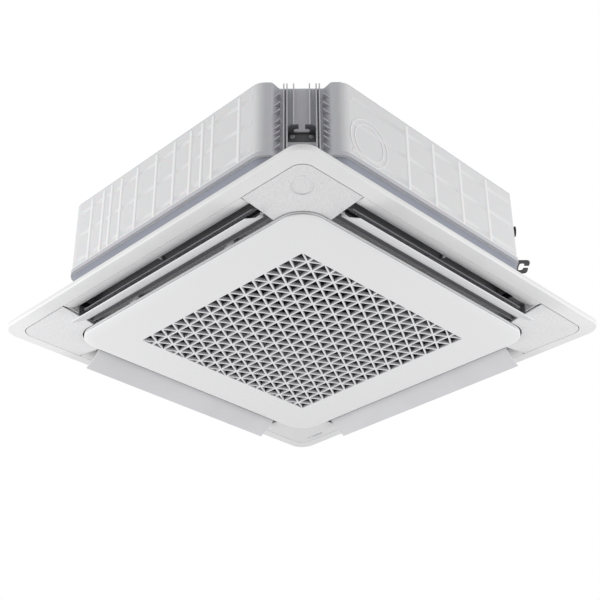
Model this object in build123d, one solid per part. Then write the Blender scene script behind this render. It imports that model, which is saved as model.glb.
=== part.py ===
from build123d import *
import os
from math import cos, hypot, radians, sin, sqrt

# A four-way ceiling cassette air conditioner, hung in the ceiling void, with its panel below.
# Millimetres, +Z up. The origin is the middle of the unit on the ceiling plane, where the back
# of the panel's rim meets the ceiling. Front is -Y and right is +X. The refrigerant pipes leave
# at the back right corner. One side or one corner is drawn at the front or at the front right,
# and turned about Z for the others.

os.makedirs("parts", exist_ok=True)

# ---- Clearances
seat_gap = 0.3            # a loose piece and what it rests on
bore_gap = 0.05           # radial, a turning pin in its hole
slip_gap = 0.5            # radial, a pipe or a screw through a plate

# ---- Panel
panel_size = 950.0
panel_corner = 40.0       # radius of the panel's corners, seen from below
rim_height = 7.0          # upright part of the rim
rim_bevel = 3.0
border_width = 32.0       # from the panel's outside to the parting line
border_depth = 13.0       # depth of the parting line below the ceiling
parting_corner = 28.0
skin = 3.0                # wall of the moulded panel
base_plate = 3.0          # the panel's inner plate, just below the ceiling plane
intake_opening = 600.0
intake_corner = 30.0
parting_gap = 1.2

# ---- Intake grille
grille_size = 714.0
grille_corner = 55.0
grille_top = 22.0         # depth of the grille's upper edge
grille_groove_top = 26.5
grille_groove_base = 28.0
grille_groove_cut = 3.0
face_depth = 35.0
edge_drop = 2.5           # height of the upright edge under the groove
edge_round = 26.0         # width of the rounded edge
face_skin = 3.5
grille_wall = 12.0
cover_gap = 3.5           # between the grille and the corner covers
cover_depth = 25.0        # depth of the corner covers beside the grille

# ---- Triangular perforations
field_size = 505.0
cells_across = 14
rows_across = 16
bar_width = 4.2
field_depth = 8.0         # thickness of the lattice

# ---- Outlets
outlet_inner = 366.0      # distance of the inner wall from the middle
outlet_outer = 407.0
outlet_half = 279.0       # half the length
outlet_wall = 3.0
roll_height = 6.0         # top of the rolled outer lip, above the ceiling plane

# ---- Vanes
vane_half = 273.0
vane_pivot = 380.0        # distance of the main vane's axis from the middle
vane_pivot_depth = 14.0
vane_offset = 7.0         # from the axis down to the blade
vane_chord = 55.0
vane_thick = 2.5
vane_rest = 32.0          # slope of the open vane, downwards
pin_radius = 2.0
ear_thick = 3.0
second_pivot = 388.0
second_pivot_depth = 3.5
second_half = 264.0
second_inner = 6.0
second_outer = 14.0
second_rest = 40.0
second_thick = 1.8
second_pin = 1.5
second_hub_half = 28.0
second_hub_radius = 3.4
motor_radius = 12.0
motor_length = 20.0

# ---- Cabinet
body_size = 840.0
pan_base = 19.0           # underside of the drain pan above the ceiling plane
pan_height = 65.0
shell_seam = 2.0
shell_top = 265.0
shell_wall = 3.0
wall_end = 300.0          # half the length of a side wall
wall_round = 35.0         # radius where a wall meets the slanted facet beside a notch
floor_distance = 490.0    # notch floor, from the middle along the diagonal
floor_half = 44.0         # half the width of the notch's floor
notch_half = 58.0         # half the width of the notch at the facets
notch_round = 8.0
pipe_wall_end = 243.0     # a side wall's end at the pipe corner
pipe_round = 10.0
pan_inset = 4.0
skirt_wall = 9.0
rim_recess = 4.0          # of the skirt's upper rim, which leaves a dark line under the cabinet
flange_height = 11.0
flange_proud = 2.0
top_flange = 22.0
top_sheet = 1.2
bead_height = 2.0
liner_thick = 13.0
bead_half = 5.0           # half the width of a pressed bead
bead_proud = 1.5
ring_width = 3.0
ring_proud = 0.9
fin_depth = 17.0
fin_width = 2.5
short_fin_base = 162.0    # the inner fins start above the bracket
ladder_rise = 15.0        # rise of a ladder rib towards the notch's middle
ladder_thick = 2.6
ladder_reach = 15.0       # from the notch's floor to the ribs' outer edges
knockout_radius = 55.0
knockout_inner = 43.0
knockout_y = -233.0
knockout_z = 149.0

# ---- Hanger brackets
hanger_pitch = 710.0      # between the middles of the slots, along X and along Y
hanger_z = 150.0
hanger_width = 54.0
hanger_reach = 17.0       # from the slot's middle to the tips
hanger_sheet = 3.0
hanger_round = 9.0
hanger_drop = 17.0        # of the leaf below the plate
slot_length = 33.0
slot_width = 12.0
slot_mouth = 12.6
bracket_screw = 2.4
bracket_screw_spread = 18.0
bracket_screw_z = 141.5
bracket_head = 2.5        # height of the screws' heads

# ---- Fan, motor and bell mouth
bell_flange = 262.0
bell_curve = 72.0
bell_throat = 168.0
bell_sheet = 2.5
bell_top = 108.0
pan_bore = 245.0
fan_radius = 240.0
fan_skin = 3.0
fan_back_z = 234.0
fan_inlet = 178.0
fan_inlet_z = 104.0
fan_outlet_z = 150.0
blade_count = 7
blade_inner = 135.0
blade_curve = 90.0
blade_centre = 170.0
blade_thick = 4.0
hub_boss = 20.0
hub_boss_z = 150.0
shaft_radius = 6.0
shaft_low = 139.0
fan_motor_radius = 80.0
fan_motor_z = 174.0
fan_motor_top = 240.0
fan_motor_flange = 96.0
mount_radius = 10.0
mount_circle = 84.0
mount_count = 4

# ---- Heat exchanger
coil_outer = 328.0
coil_depth = 38.0
coil_corner = 98.0
coil_end = 230.0
coil_rows = (300.0, 318.0)
tube_radius = 4.0
tube_first_z = 105.0
tube_pitch = 20.0
tube_levels = 8
end_sheet = 1.5

# ---- Pipes, pump and float at the pipe corner
gas_radius = 7.94
gas_z = 165.0
gas_across = 80.0         # sideways from the corner's middle
liquid_radius = 4.76
liquid_across = 40.0
header_radius = 9.0
header_x = 258.0
header_top = 195.0
pipe_bend = 28.0
pipe_out = 8.0
union_length = 12.0
nipple_length = 16.0
gas_nipple = 11.11
liquid_nipple = 7.94
pipe_sheet = 1.2
pipe_plate_half = 114.0
window_half = 104.0
drain_radius = 16.0
drain_bore = 13.0
drain_out = 30.0
drain_across = 40.0
drain_z = 215.0
gland_radius = 12.0
gland_across = -60.0
gland_z = 208.0
gland_out = 15.0
hose_radius = 11.0
pump_x = 275.0
pump_y = 266.0
pump_radius = 20.0
pump_base = 100.0
pump_top = 228.0
suction_radius = 14.0
suction_wall = 2.0
suction_low = 66.0
impeller_radius = 10.0
float_x = 312.0
float_radius = 11.0
float_stem = 2.5
float_z = 92.0
float_height = 16.0
sump_depth = 24.0
trough_depth = 10.0

# ---- Control box
box_inner = 275.0         # its near side, from the middle
box_width = 80.0
box_half = 140.0
box_low = 8.0
box_height = 55.0
box_sheet = 1.2
box_pocket_gap = 4.0

# ---- Worked out from the sizes above
half_panel = panel_size / 2
parting = half_panel - border_width
half_grille = grille_size / 2
cover_inner = half_grille + cover_gap
half_body = body_size / 2
pan_top = pan_base + pan_height
shell_base = pan_top + shell_seam
facet_distance = (wall_end + half_body) / sqrt(2)
pipe_sum = half_body + pipe_wall_end
pipe_distance = pipe_sum / sqrt(2)
ring_wall = outlet_inner - outlet_wall
sides = ("front", "right", "back", "left")
corners = ("front_right", "back_right", "back_left", "front_left")
low = (Align.CENTER, Align.CENTER, Align.MIN)


def save(name, shape):
    export_step(shape, "parts/" + name + ".step")


def block(x, y, z):
    """A box given by its (low, high) pair along each axis."""
    middle = [(pair[0] + pair[1]) / 2 for pair in (x, y, z)]
    return Pos(*middle) * Box(x[1] - x[0], y[1] - y[0], z[1] - z[0])


def rod(radius, start, end):
    """A round bar between two points."""
    way = Vector(*end) - Vector(*start)
    return Plane(origin=start, z_dir=way) * Cylinder(radius, way.length, align=low)


def turned(shape, step):
    """The same shape on another side or corner, a number of quarter turns on."""
    return Rot(0, 0, 90 * step) * shape


def at_corner(shape, step):
    """A shape drawn along +X is put across the corner that is a number of quarter turns on."""
    return Rot(0, 0, 90 * step - 45) * shape


def square(half, corner, z):
    return Pos(0, 0, z) * RectangleRounded(2 * half, 2 * half, corner)


def slab(half, corner, z_low, z_high):
    """A rounded square plate."""
    return extrude(square(half, corner, z_low), z_high - z_low)


def frustum(half_low, corner_low, z_low, half_high, corner_high, z_high):
    """A rounded square that widens or narrows with height."""
    return loft([square(half_low, corner_low, z_low), square(half_high, corner_high, z_high)], ruled=True)


def profile_face(points):
    return make_face(Polyline(*points, close=True))


def turned_ring(points):
    """A ring turned about Z from (radius, height) points."""
    return revolve(Plane.XZ * profile_face(points), Axis.Z)


# ---- Cabinet outline

def quarter(point, step):
    for _ in range(step):
        point = (-point[1], point[0])
    return point


def diagonal_point(distance, across):
    """A point at the front right corner, out along the diagonal and sideways from it."""
    return (distance + across) / sqrt(2), (across - distance) / sqrt(2)


def cabinet_outline(inset):
    """The cabinet seen from above: side walls, facets, notched corners and the slanted pipe corner."""
    wall = half_body - inset
    run = facet_distance - floor_distance
    spread = notch_half - floor_half
    shift = inset * (hypot(run, spread) - spread) / run
    points = []
    radii = []
    for step in range(4):
        if corners[step] == "back_right":
            end = pipe_sum - inset * sqrt(2) - wall
            points += [quarter((end, -wall), step), quarter((wall, -end), step)]
            radii += [pipe_round, pipe_round]
            continue
        end = (facet_distance - inset) * sqrt(2) - wall
        local = [(end, -wall),
                 diagonal_point(facet_distance - inset, -notch_half - shift),
                 diagonal_point(floor_distance - inset, -floor_half - shift),
                 diagonal_point(floor_distance - inset, floor_half + shift),
                 diagonal_point(facet_distance - inset, notch_half + shift),
                 (wall, -end)]
        points += [quarter(point, step) for point in local]
        radii += [wall_round - inset, max(notch_round - inset, 2), 4, 4, max(notch_round - inset, 2),
                  wall_round - inset]
    return make_face(FilletPolyline(*points, radius=radii, close=True))


def outline_ring(outer_inset, inner_inset, z_low, z_high):
    ring = cabinet_outline(outer_inset) - cabinet_outline(inner_inset)
    return extrude(Pos(0, 0, z_low) * ring, z_high - z_low)


# ---- Cabinet shell and its ribs

# Places of the upright beads along each wall, and the heights of the level ones.
front_beads = (-241, -198, -170, -134, -79, -14, 46, 98, 134, 166, 245)
right_beads = (-115, -31, 58, 150)
level_beads = (110, 177, 237)
floor_fins = (-35, -28.8, -15.6, 15.6, 28.8, 35)
ladder_levels = (101, 121, 134, 148, 163, 187, 205, 227)


def bead_section():
    """The low, round-backed section of a bead pressed in a wall, with its back a little inside."""
    crest = ThreePointArc((-bead_half, 0), (0, bead_proud), (bead_half, 0))
    foot = Polyline((-bead_half, 0), (-bead_half, -0.5), (bead_half, -0.5), (bead_half, 0))
    return make_face([crest, foot])


def wall_beads(places, wall_from, wall_to):
    """Pressed beads on the front wall, between two ends."""
    base = shell_base + flange_height - 1
    top = shell_top - 7
    beads = []
    for place in places:
        plane = Plane(origin=(place, -half_body, base), x_dir=(-1, 0, 0), z_dir=(0, 0, 1))
        beads.append(extrude(plane * bead_section(), top - base))
    for height in level_beads:
        plane = Plane(origin=(wall_from, -half_body, height), x_dir=(0, 0, -1), z_dir=(1, 0, 0))
        beads.append(extrude(plane * bead_section(), wall_to - wall_from))
    return beads


def ladder_rib(level, way):
    """A short rib on a notch's flank, rising towards the notch's middle; drawn across +X."""
    start, end = notch_half + 1, floor_half - 2
    outline = [(way * start, level), (way * end, level + ladder_rise), (way * end, level + ladder_rise + ladder_thick),
               (way * start, level + ladder_thick)]
    face = Plane(origin=(floor_distance - 1, 0, 0), x_dir=(0, 1, 0), z_dir=(1, 0, 0)) * profile_face(outline)
    return extrude(face, ladder_reach + 1)


def notch_fins():
    """Upright fins on the notch's floor and a ladder of short ribs on its flanks."""
    fins = []
    for place in floor_fins:
        behind_bracket = abs(place) < hanger_width / 2 - 2 * fin_width
        fin_low = short_fin_base if behind_bracket else shell_base + 8
        fins.append(block((floor_distance - 0.5, floor_distance + fin_depth),
                          (place - fin_width / 2, place + fin_width / 2), (fin_low, shell_top)))
    inside = extrude(Pos(0, 0, shell_base) * cabinet_outline(0.5), shell_top)
    inside = Rot(0, 0, 45) * inside
    for level in ladder_levels:
        fins += [ladder_rib(level, way) - inside for way in (-1, 1)]
    return fins


def knockout_ring():
    """The raised ring of the fresh-air knock-out on the right wall."""
    ring = Circle(knockout_radius) - Circle(knockout_radius - ring_width)
    ring += Circle(knockout_inner) - Circle(knockout_inner - ring_width)
    plane = Plane(origin=(half_body - 0.5, knockout_y, knockout_z), z_dir=(1, 0, 0))
    return extrude(plane * ring, ring_proud + 0.5)


def bracket_screw_places():
    """Screw places on each corner's floor, as (quarter turns, floor distance, sideways)."""
    places = []
    for step in range(4):
        distance = pipe_distance if corners[step] == "back_right" else floor_distance
        for way in (-1, 1):
            places.append((step, distance, way * bracket_screw_spread))
    return places


def cabinet_shell():
    shell = outline_ring(0, shell_wall, shell_base, shell_top)
    shell += outline_ring(-flange_proud, shell_wall, shell_base, shell_base + flange_height)
    shell += outline_ring(0, top_flange, shell_top - shell_wall, shell_top)
    reach = wall_end - wall_round / 2
    ribs = wall_beads(front_beads, -reach, reach)
    ribs += [turned(bead, 1) for bead in wall_beads(right_beads, -reach, pipe_wall_end - pipe_round)]
    ribs += [turned(bead, 2) for bead in wall_beads(right_beads, pipe_round - pipe_wall_end, reach)]
    ribs += [turned(bead, 3) for bead in wall_beads(right_beads, -reach, reach)]
    fins = notch_fins()
    for step in (0, 2, 3):
        ribs += [at_corner(fin, step) for fin in fins]
    shell = shell + ribs + knockout_ring()
    plate_depth = (pipe_distance - shell_wall - 2, pipe_distance + 2)
    window = block(plate_depth, (-window_half, window_half), (shell_base + flange_height + 2, shell_top - 14))
    rail = block((pipe_distance - shell_wall, pipe_distance), (-hanger_width / 2, hanger_width / 2),
                 (shell_base, hanger_z + hanger_sheet))
    shell -= at_corner(window - rail, 1)
    for step, distance, across in bracket_screw_places():
        hole = rod(bracket_screw + slip_gap / 5, (distance - 6, across, bracket_screw_z),
                   (distance + 2, across, bracket_screw_z))
        shell -= at_corner(hole, step)
    return shell


def top_plate():
    """Galvanised sheet over the cabinet, stiffened by a pressed ring and four beads."""
    height = top_sheet + bead_height
    plate = extrude(Pos(0, 0, shell_top) * cabinet_outline(0), top_sheet)
    plate += extrude(Pos(0, 0, shell_top) * (Circle(140) - Circle(128)), height)
    for step in range(4):
        plate += turned(block((134, 330), (-6, 6), (shell_top, shell_top + height)), step)
    return plate


def cabinet_liner():
    """Foam insulation inside the shell."""
    inner = shell_wall + liner_thick
    liner = outline_ring(shell_wall + seat_gap, inner, shell_base, shell_top - shell_wall - seat_gap)
    corner = block((pipe_distance - 40, pipe_distance + 5), (-window_half, window_half),
                   (shell_base - 1, shell_top + 1))
    return liner - at_corner(corner, 1)


# ---- Drain pan

def air_span(step):
    """The ends of one side's air way above the panel, shorter beside the pipe corner."""
    short = pipe_sum - outlet_outer - pan_inset * sqrt(2) - 15
    start = -short if sides[step] == "back" else -outlet_half
    end = short if sides[step] == "right" else outlet_half
    return start, end


def pan_outlet(step, z_low, z_high, grow=0.0):
    start, end = air_span(step)
    air_way = block((start - grow, end + grow), (-outlet_outer - grow, -outlet_inner + grow), (z_low, z_high))
    return turned(air_way, step)


def control_pocket():
    """The room for the control box, at the left of the bell mouth."""
    gap = box_pocket_gap
    return block((-box_inner - box_width - gap, -box_inner + gap), (-box_half - gap, box_half + gap),
                 (pan_base - 1, box_low + box_height + seat_gap))


def panel_screw_places():
    place = intake_opening / 2 + 15
    return [quarter((place, -place), step) for step in range(4)]


def pan_skirt():
    """The pan's outer wall: a strip along each side, which also closes that side's air way, and four corners."""
    skirt = outline_ring(pan_inset, pan_inset + skirt_wall, pan_base, pan_top)
    skirt += outline_ring(pan_inset + rim_recess, pan_inset + skirt_wall, pan_top, shell_base - seat_gap)
    pieces = []
    for step in range(4):
        start, end = air_span(step)
        length = turned(block((start, end), (-half_body, -coil_outer), (pan_base - 1, shell_base + 1)), step)
        pieces += (skirt & length).solids()
        skirt -= length
    return Compound(pieces + skirt.solids())


def drain_pan():
    pan = extrude(Pos(0, 0, pan_base) * cabinet_outline(pan_inset + skirt_wall), pan_height)
    pan -= Pos(0, 0, pan_base - 1) * Cylinder(pan_bore, pan_height + 10, align=low)
    for step in range(4):
        pan -= pan_outlet(step, pan_base - 1, pan_top + 10)
    pan -= control_pocket()
    trough = slab(coil_outer - 8, coil_corner - 8, pan_top - trough_depth, pan_top + 1)
    trough -= slab(coil_outer - coil_depth + 8, coil_corner - coil_depth + 8, pan_top - trough_depth, pan_top + 1)
    pan -= trough
    pan -= block((coil_end + 18, float_x + 20), (coil_end + 18, pump_y + 26), (pan_top - sump_depth, pan_top + 1))
    for x, y in panel_screw_places():
        pan -= rod(panel_screw_radius + slip_gap / 5, (x, y, pan_base - 1), (x, y, pan_base + panel_screw_grip))
    return pan


# ---- Hanger brackets

def hanger_bracket(step):
    """A plate with a sideways slot, open outwards for the suspension rod, and its fixing leaf."""
    wall = pipe_distance + pipe_sheet if corners[step] == "back_right" else floor_distance
    slot_middle = hanger_pitch / 2 * sqrt(2)
    tip = slot_middle + hanger_reach
    plate = Pos((wall + tip) / 2, 0) * RectangleRounded(tip - wall, hanger_width, hanger_round)
    plate += Pos((wall + tip) / 2 - hanger_round, 0) * Rectangle(tip - wall - 2 * hanger_round, hanger_width)
    plate -= Pos(slot_middle, 0) * Rot(0, 0, 90) * SlotOverall(slot_length, slot_width)
    plate -= Pos(slot_middle + hanger_reach / 2, 0) * Rectangle(hanger_reach + 2, slot_mouth)
    bracket = extrude(Pos(0, 0, hanger_z) * plate, hanger_sheet)
    bracket += block((wall, wall + hanger_sheet), (-hanger_width / 2, hanger_width / 2),
                     (hanger_z - hanger_drop, hanger_z + hanger_sheet))
    for way in (-1, 1):
        across = way * bracket_screw_spread
        bracket -= rod(bracket_screw + slip_gap / 5, (wall - 1, across, bracket_screw_z),
                       (wall + hanger_sheet + 1, across, bracket_screw_z))
    return at_corner(bracket, step)


def hanger_brackets():
    return Compound([hanger_bracket(step) for step in range(4)])


def bracket_screws():
    screws = []
    for step, distance, across in bracket_screw_places():
        wall = distance + (pipe_sheet if corners[step] == "back_right" else 0)
        seat = wall + hanger_sheet
        screw = rod(bracket_screw, (distance - shell_wall, across, bracket_screw_z), (seat + 1, across, bracket_screw_z))
        head = Plane(origin=(seat, across, bracket_screw_z), z_dir=(1, 0, 0)) * RegularPolygon(5, 6)
        screws.append(at_corner(screw + extrude(head, bracket_head), step))
    return Compound(screws)


# ---- Bell mouth, fan and motor

def bell_mouth():
    """A rounded inlet ring under the fan."""
    centre_r = bell_throat + bell_curve
    centre_z = pan_base - bell_sheet + bell_curve
    inner = CenterArc((centre_r, centre_z), bell_curve, 180, 90)
    outer = CenterArc((centre_r, centre_z), bell_curve - bell_sheet, 180, 90)
    lines = [
        inner, outer,
        Line(inner @ 1, (bell_flange, pan_base - bell_sheet)),
        Line((bell_flange, pan_base - bell_sheet), (bell_flange, pan_base)),
        Line((bell_flange, pan_base), outer @ 1),
        Line(inner @ 0, (bell_throat, bell_top)),
        Line((bell_throat, bell_top), (bell_throat + bell_sheet, bell_top)),
        Line((bell_throat + bell_sheet, bell_top), outer @ 0),
    ]
    return revolve(Plane.XZ * make_face(lines), Axis.Z)


def fan_blade(step):
    """One backward-curved blade, from the shroud up to the back plate."""
    arc = Circle(blade_curve + blade_thick / 2) - Circle(blade_curve - blade_thick / 2)
    band = Circle(fan_radius - 3) - Circle(blade_inner)
    upper = Pos(0, fan_radius) * Rectangle(2 * fan_radius, 2 * fan_radius)
    section = (Pos(blade_centre, 0) * arc) & band & upper
    blade = extrude(Pos(0, 0, fan_inlet_z) * section, fan_back_z - fan_inlet_z + 1)
    top = fan_back_z + 1.5
    room = turned_ring([(blade_inner - 5, top), (fan_radius - 2, top), (fan_radius - 2, fan_outlet_z - 1.5),
                        (fan_radius - 18, fan_outlet_z - 6), (fan_inlet + 22, fan_outlet_z - 16),
                        (fan_inlet + 7, fan_inlet_z + 16), (fan_inlet + 2, fan_inlet_z + 4),
                        (blade_inner - 5, fan_outlet_z + 10)])
    return Rot(0, 0, 360 / blade_count * step) * (blade & room)


def turbo_fan():
    """Hub cone, back plate, blades and shroud of the centrifugal fan, moulded in one."""
    bore = shaft_radius + bore_gap / 2
    hub = turned_ring([(bore, hub_boss_z), (hub_boss, hub_boss_z), (hub_boss, hub_boss_z + 10),
                       (fan_motor_radius + 8, fan_motor_z - 8), (fan_motor_radius + 26, fan_back_z),
                       (fan_radius, fan_back_z), (fan_radius, fan_back_z + fan_skin),
                       (fan_motor_radius + 23.5, fan_back_z + fan_skin),
                       (fan_motor_radius + 6, fan_motor_z - 4.5), (bore, hub_boss_z + 13)])
    middle = (fan_inlet + 17, fan_outlet_z - 16)
    upper = ThreePointArc((fan_inlet, fan_inlet_z), middle, (fan_radius, fan_outlet_z))
    lower = ThreePointArc((fan_inlet + fan_skin, fan_inlet_z), (middle[0] + 2.2, middle[1] - 2.6),
                          (fan_radius, fan_outlet_z - fan_skin))
    shroud_face = make_face([upper, lower, Line(upper @ 0, lower @ 0), Line(upper @ 1, lower @ 1)])
    shroud = revolve(Plane.XZ * shroud_face, Axis.Z)
    return hub + [shroud] + [fan_blade(step) for step in range(blade_count)]


def fan_motor():
    motor = Pos(0, 0, fan_motor_z) * Cylinder(fan_motor_radius, fan_motor_top - fan_motor_z, align=low)
    motor = chamfer(motor.edges().filter_by(GeomType.CIRCLE), 5)
    motor += Pos(0, 0, fan_motor_top - 4) * Cylinder(fan_motor_flange, 4, align=low)
    return motor - Pos(0, 0, fan_motor_z - 1) * Cylinder(shaft_radius + bore_gap, 30, align=low)


def motor_shaft():
    return Pos(0, 0, shaft_low) * Cylinder(shaft_radius, fan_motor_z + 28 - shaft_low, align=low)


def fan_nut():
    nut = extrude(Pos(0, 0, hub_boss_z - 9) * RegularPolygon(10, 6), 7.5)
    nut += Pos(0, 0, hub_boss_z - 1.5) * Cylinder(13, 1.5, align=low)
    return nut - Pos(0, 0, hub_boss_z - 10) * Cylinder(shaft_radius + bore_gap / 2, 12, align=low)


def motor_mounts():
    """Rubber bushes between the motor's flange and the top plate."""
    mounts = []
    for number in range(mount_count):
        bush = Pos(mount_circle, 0, fan_motor_top) * Cylinder(mount_radius, shell_top - fan_motor_top, align=low)
        groove = Circle(mount_radius + 1) - Circle(mount_radius - 2)
        bush -= extrude(Pos(mount_circle, 0, (fan_motor_top + shell_top) / 2 - 2) * groove, 4)
        mounts.append(Rot(0, 0, 45 + 360 / mount_count * number) * bush)
    return Compound(mounts)


# ---- Heat exchanger

coil_low = pan_top + seat_gap
coil_high = shell_top - shell_wall - seat_gap


def swap(shape):
    """A piece on the right leg's end is mirrored to the back leg's end."""
    return mirror(shape, Plane(origin=(0, 0, 0), z_dir=(1, -1, 0)))


def tube_z(level):
    return tube_first_z + level * tube_pitch


def coil_fins():
    pack = slab(coil_outer, coil_corner, coil_low, coil_high)
    pack -= slab(coil_outer - coil_depth, coil_corner - coil_depth, coil_low - 1, coil_high + 1)
    return pack - block((coil_end, half_body), (coil_end, half_body), (coil_low - 1, coil_high + 1))


def coil_end_plate():
    plate = block((coil_outer - coil_depth - 4, coil_outer + 4), (coil_end, coil_end + end_sheet),
                  (coil_low, coil_high))
    for row in coil_rows:
        for level in range(tube_levels):
            place = (row, coil_end - 1, tube_z(level))
            plate -= rod(tube_radius + bore_gap, place, (row, coil_end + end_sheet + 1, tube_z(level)))
    return plate


def coil_end_plates():
    return Compound([coil_end_plate(), swap(coil_end_plate())])


def return_bend(row, level):
    """A U-shaped tube that joins one level to the next, on the right leg's end."""
    start = coil_end + end_sheet + 2
    middle = (row, start, tube_z(level) + tube_pitch / 2)
    loop = Pos(*middle) * Rot(0, 90, 0) * Torus(tube_pitch / 2, tube_radius)
    reach = tube_pitch / 2 + tube_radius + 1
    loop &= Pos(row, start + reach / 2, middle[2]) * Box(reach * 2, reach, reach * 2)
    ends = [rod(tube_radius, (row, coil_end, tube_z(level + way)), (row, start, tube_z(level + way)))
            for way in (0, 1)]
    return loop + ends


def coil_bends():
    bends = []
    for row in coil_rows:
        for level in range(0, tube_levels, 2):
            bends.append(return_bend(row, level))
    for level in range(2, tube_levels, 2):
        bends.append(swap(return_bend(coil_rows[1], level)))
    return Compound(bends)


# ---- Pipes at the slanted corner

def corner_point(distance, across, z):
    """A point at the pipe corner, out along the diagonal and sideways from it."""
    return ((distance - across) / sqrt(2), (distance + across) / sqrt(2), z)


def bent_pipe(radius, start, knee, end):
    path = FilletPolyline(start, knee, end, radius=pipe_bend)
    section = Plane(origin=start, z_dir=Vector(*knee) - Vector(*start)) * Circle(radius)
    return sweep(section, path)


def gas_pipe():
    """The gas line with its header and the three tubes that feed it from the coil."""
    knee = (header_x, header_x + gas_across * sqrt(2), gas_z)
    pipe = bent_pipe(gas_radius, (header_x, coil_rows[0], gas_z), knee,
                     corner_point(pipe_distance + pipe_out, gas_across, gas_z))
    pipe += rod(header_radius, (header_x, coil_rows[0], tube_first_z - 10), (header_x, coil_rows[0], header_top))
    for level in (0, 2, 4):
        pipe += rod(tube_radius, (coil_end, coil_rows[0], tube_z(level)), (header_x, coil_rows[0], tube_z(level)))
    return pipe


def liquid_pipe():
    z = tube_z(0)
    knee = (coil_rows[1] - liquid_across * sqrt(2), coil_rows[1], z)
    start = (coil_end + end_sheet + 2, coil_rows[1], z)
    pipe = bent_pipe(liquid_radius, start, knee, corner_point(pipe_distance + pipe_out, liquid_across, z))
    return pipe + rod(tube_radius, (coil_end, coil_rows[1], z), start)


def flare_union(across, z, nipple):
    """A brass hexagon with a threaded nipple for the field pipe's nut."""
    start = pipe_distance + pipe_out
    hexagon = Plane(origin=(start, across, z), z_dir=(1, 0, 0)) * RegularPolygon(nipple + 4.5, 6)
    union = extrude(hexagon, union_length)
    tip = start + union_length + nipple_length
    union += rod(nipple, (start + union_length, across, z), (tip, across, z))
    union -= rod(nipple * 0.55, (tip - 10, across, z), (tip + 1, across, z))
    return at_corner(union, 1)


def flare_unions():
    return Compound([flare_union(gas_across, gas_z, gas_nipple),
                     flare_union(liquid_across, tube_z(0), liquid_nipple)])


def pipe_plate():
    """Sheet that closes the slanted corner, with a hole for each pipe."""
    plate = block((pipe_distance, pipe_distance + pipe_sheet), (-pipe_plate_half, pipe_plate_half),
                  (shell_base + flange_height + seat_gap, shell_top - 4))
    holes = ((gas_radius + slip_gap, gas_across, gas_z), (liquid_radius + slip_gap, liquid_across, tube_z(0)),
             (drain_radius + seat_gap, drain_across, drain_z), (gland_radius - 3, gland_across, gland_z))
    for radius, across, z in holes:
        plate -= rod(radius, (pipe_distance - 1, across, z), (pipe_distance + pipe_sheet + 1, across, z))
    for way in (-1, 1):
        across = way * bracket_screw_spread
        plate -= rod(bracket_screw + slip_gap / 5, (pipe_distance - 1, across, bracket_screw_z),
                     (pipe_distance + pipe_sheet + 1, across, bracket_screw_z))
    return at_corner(plate, 1)


def cable_gland():
    """A rubber grommet where the mains and signal cables go in."""
    face = pipe_distance + pipe_sheet
    gland = rod(gland_radius, (face, gland_across, gland_z), (face + gland_out, gland_across, gland_z))
    gland += rod(gland_radius - 3.3, (pipe_distance - 4, gland_across, gland_z), (face + 1, gland_across, gland_z))
    gland -= rod(gland_radius - 6, (pipe_distance - 5, gland_across, gland_z),
                 (face + gland_out + 1, gland_across, gland_z))
    return at_corner(gland, 1)


hose_end = pipe_distance - 6


def drain_outlet():
    face = pipe_distance + pipe_sheet
    tube = rod(drain_radius, (hose_end, drain_across, drain_z), (face + drain_out, drain_across, drain_z))
    tube += rod(drain_radius + 5, (face, drain_across, drain_z), (face + 2.5, drain_across, drain_z))
    tube -= rod(drain_bore, (pipe_distance - 2, drain_across, drain_z),
                (face + drain_out + 1, drain_across, drain_z))
    return at_corner(tube, 1)


def drain_hose():
    """The pump's hose to the drain outlet."""
    start = (pump_x, pump_y + pump_radius + 4, drain_z)
    knee = (pump_x, pump_x + drain_across * sqrt(2), drain_z)
    return bent_pipe(hose_radius, start, knee, corner_point(hose_end, drain_across, drain_z))


def drain_pump():
    """The pump hangs from the top plate on a post, with its suction tube in the sump."""
    here = Pos(pump_x, pump_y, 0)
    pump = here * Pos(0, 0, pump_base) * Cylinder(pump_radius, pump_top - pump_base, align=low)
    pump += here * Pos(0, 0, pump_top - 1) * Cylinder(pump_radius / 2, shell_top - pump_top + 1, align=low)
    pump += here * Pos(0, 0, suction_low) * Cylinder(suction_radius, pump_base - suction_low + 1, align=low)
    pump -= here * Pos(0, 0, suction_low - 1) * Cylinder(suction_radius - suction_wall, 30, align=low)
    pump -= here * Pos(0, 0, suction_low) * Cylinder(pin_radius + bore_gap, 52, align=low)
    pump += rod(hose_radius, (pump_x, pump_y + pump_radius / 2, drain_z), (pump_x, pump_y + pump_radius + 4, drain_z))
    return pump


def pump_impeller():
    hub = Pos(pump_x, pump_y, suction_low + 4) * Cylinder(pin_radius, 44, align=low)
    for step in range(4):
        blade = block((0, impeller_radius), (-0.8, 0.8), (suction_low + 5, suction_low + 17))
        hub += Pos(pump_x, pump_y, 0) * Rot(0, 0, 90 * step) * blade
    return hub


def float_stem_piece():
    """The float switch's stem, on an arm from the pump."""
    stem = Pos(float_x, pump_y, float_z - 5) * Cylinder(float_stem, 60, align=low)
    stem += Pos(float_x, pump_y, float_z - 5) * Cylinder(float_stem + 3, 4, align=low)
    arm = block((pump_x + pump_radius - 1, float_x + 5), (pump_y - 5, pump_y + 5), (float_z + 50, float_z + 58))
    arm -= Pos(pump_x, pump_y, float_z) * Cylinder(pump_radius, 80, align=low)
    return stem + arm


def float_ring():
    ring = Pos(float_x, pump_y, float_z) * Cylinder(float_radius, float_height, align=low)
    return ring - Pos(float_x, pump_y, float_z - 1) * Cylinder(float_stem + bore_gap, float_height + 2, align=low)


# ---- Control box beside the bell mouth

def box_range():
    return (-box_inner - box_width, -box_inner), (-box_half, box_half)


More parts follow.
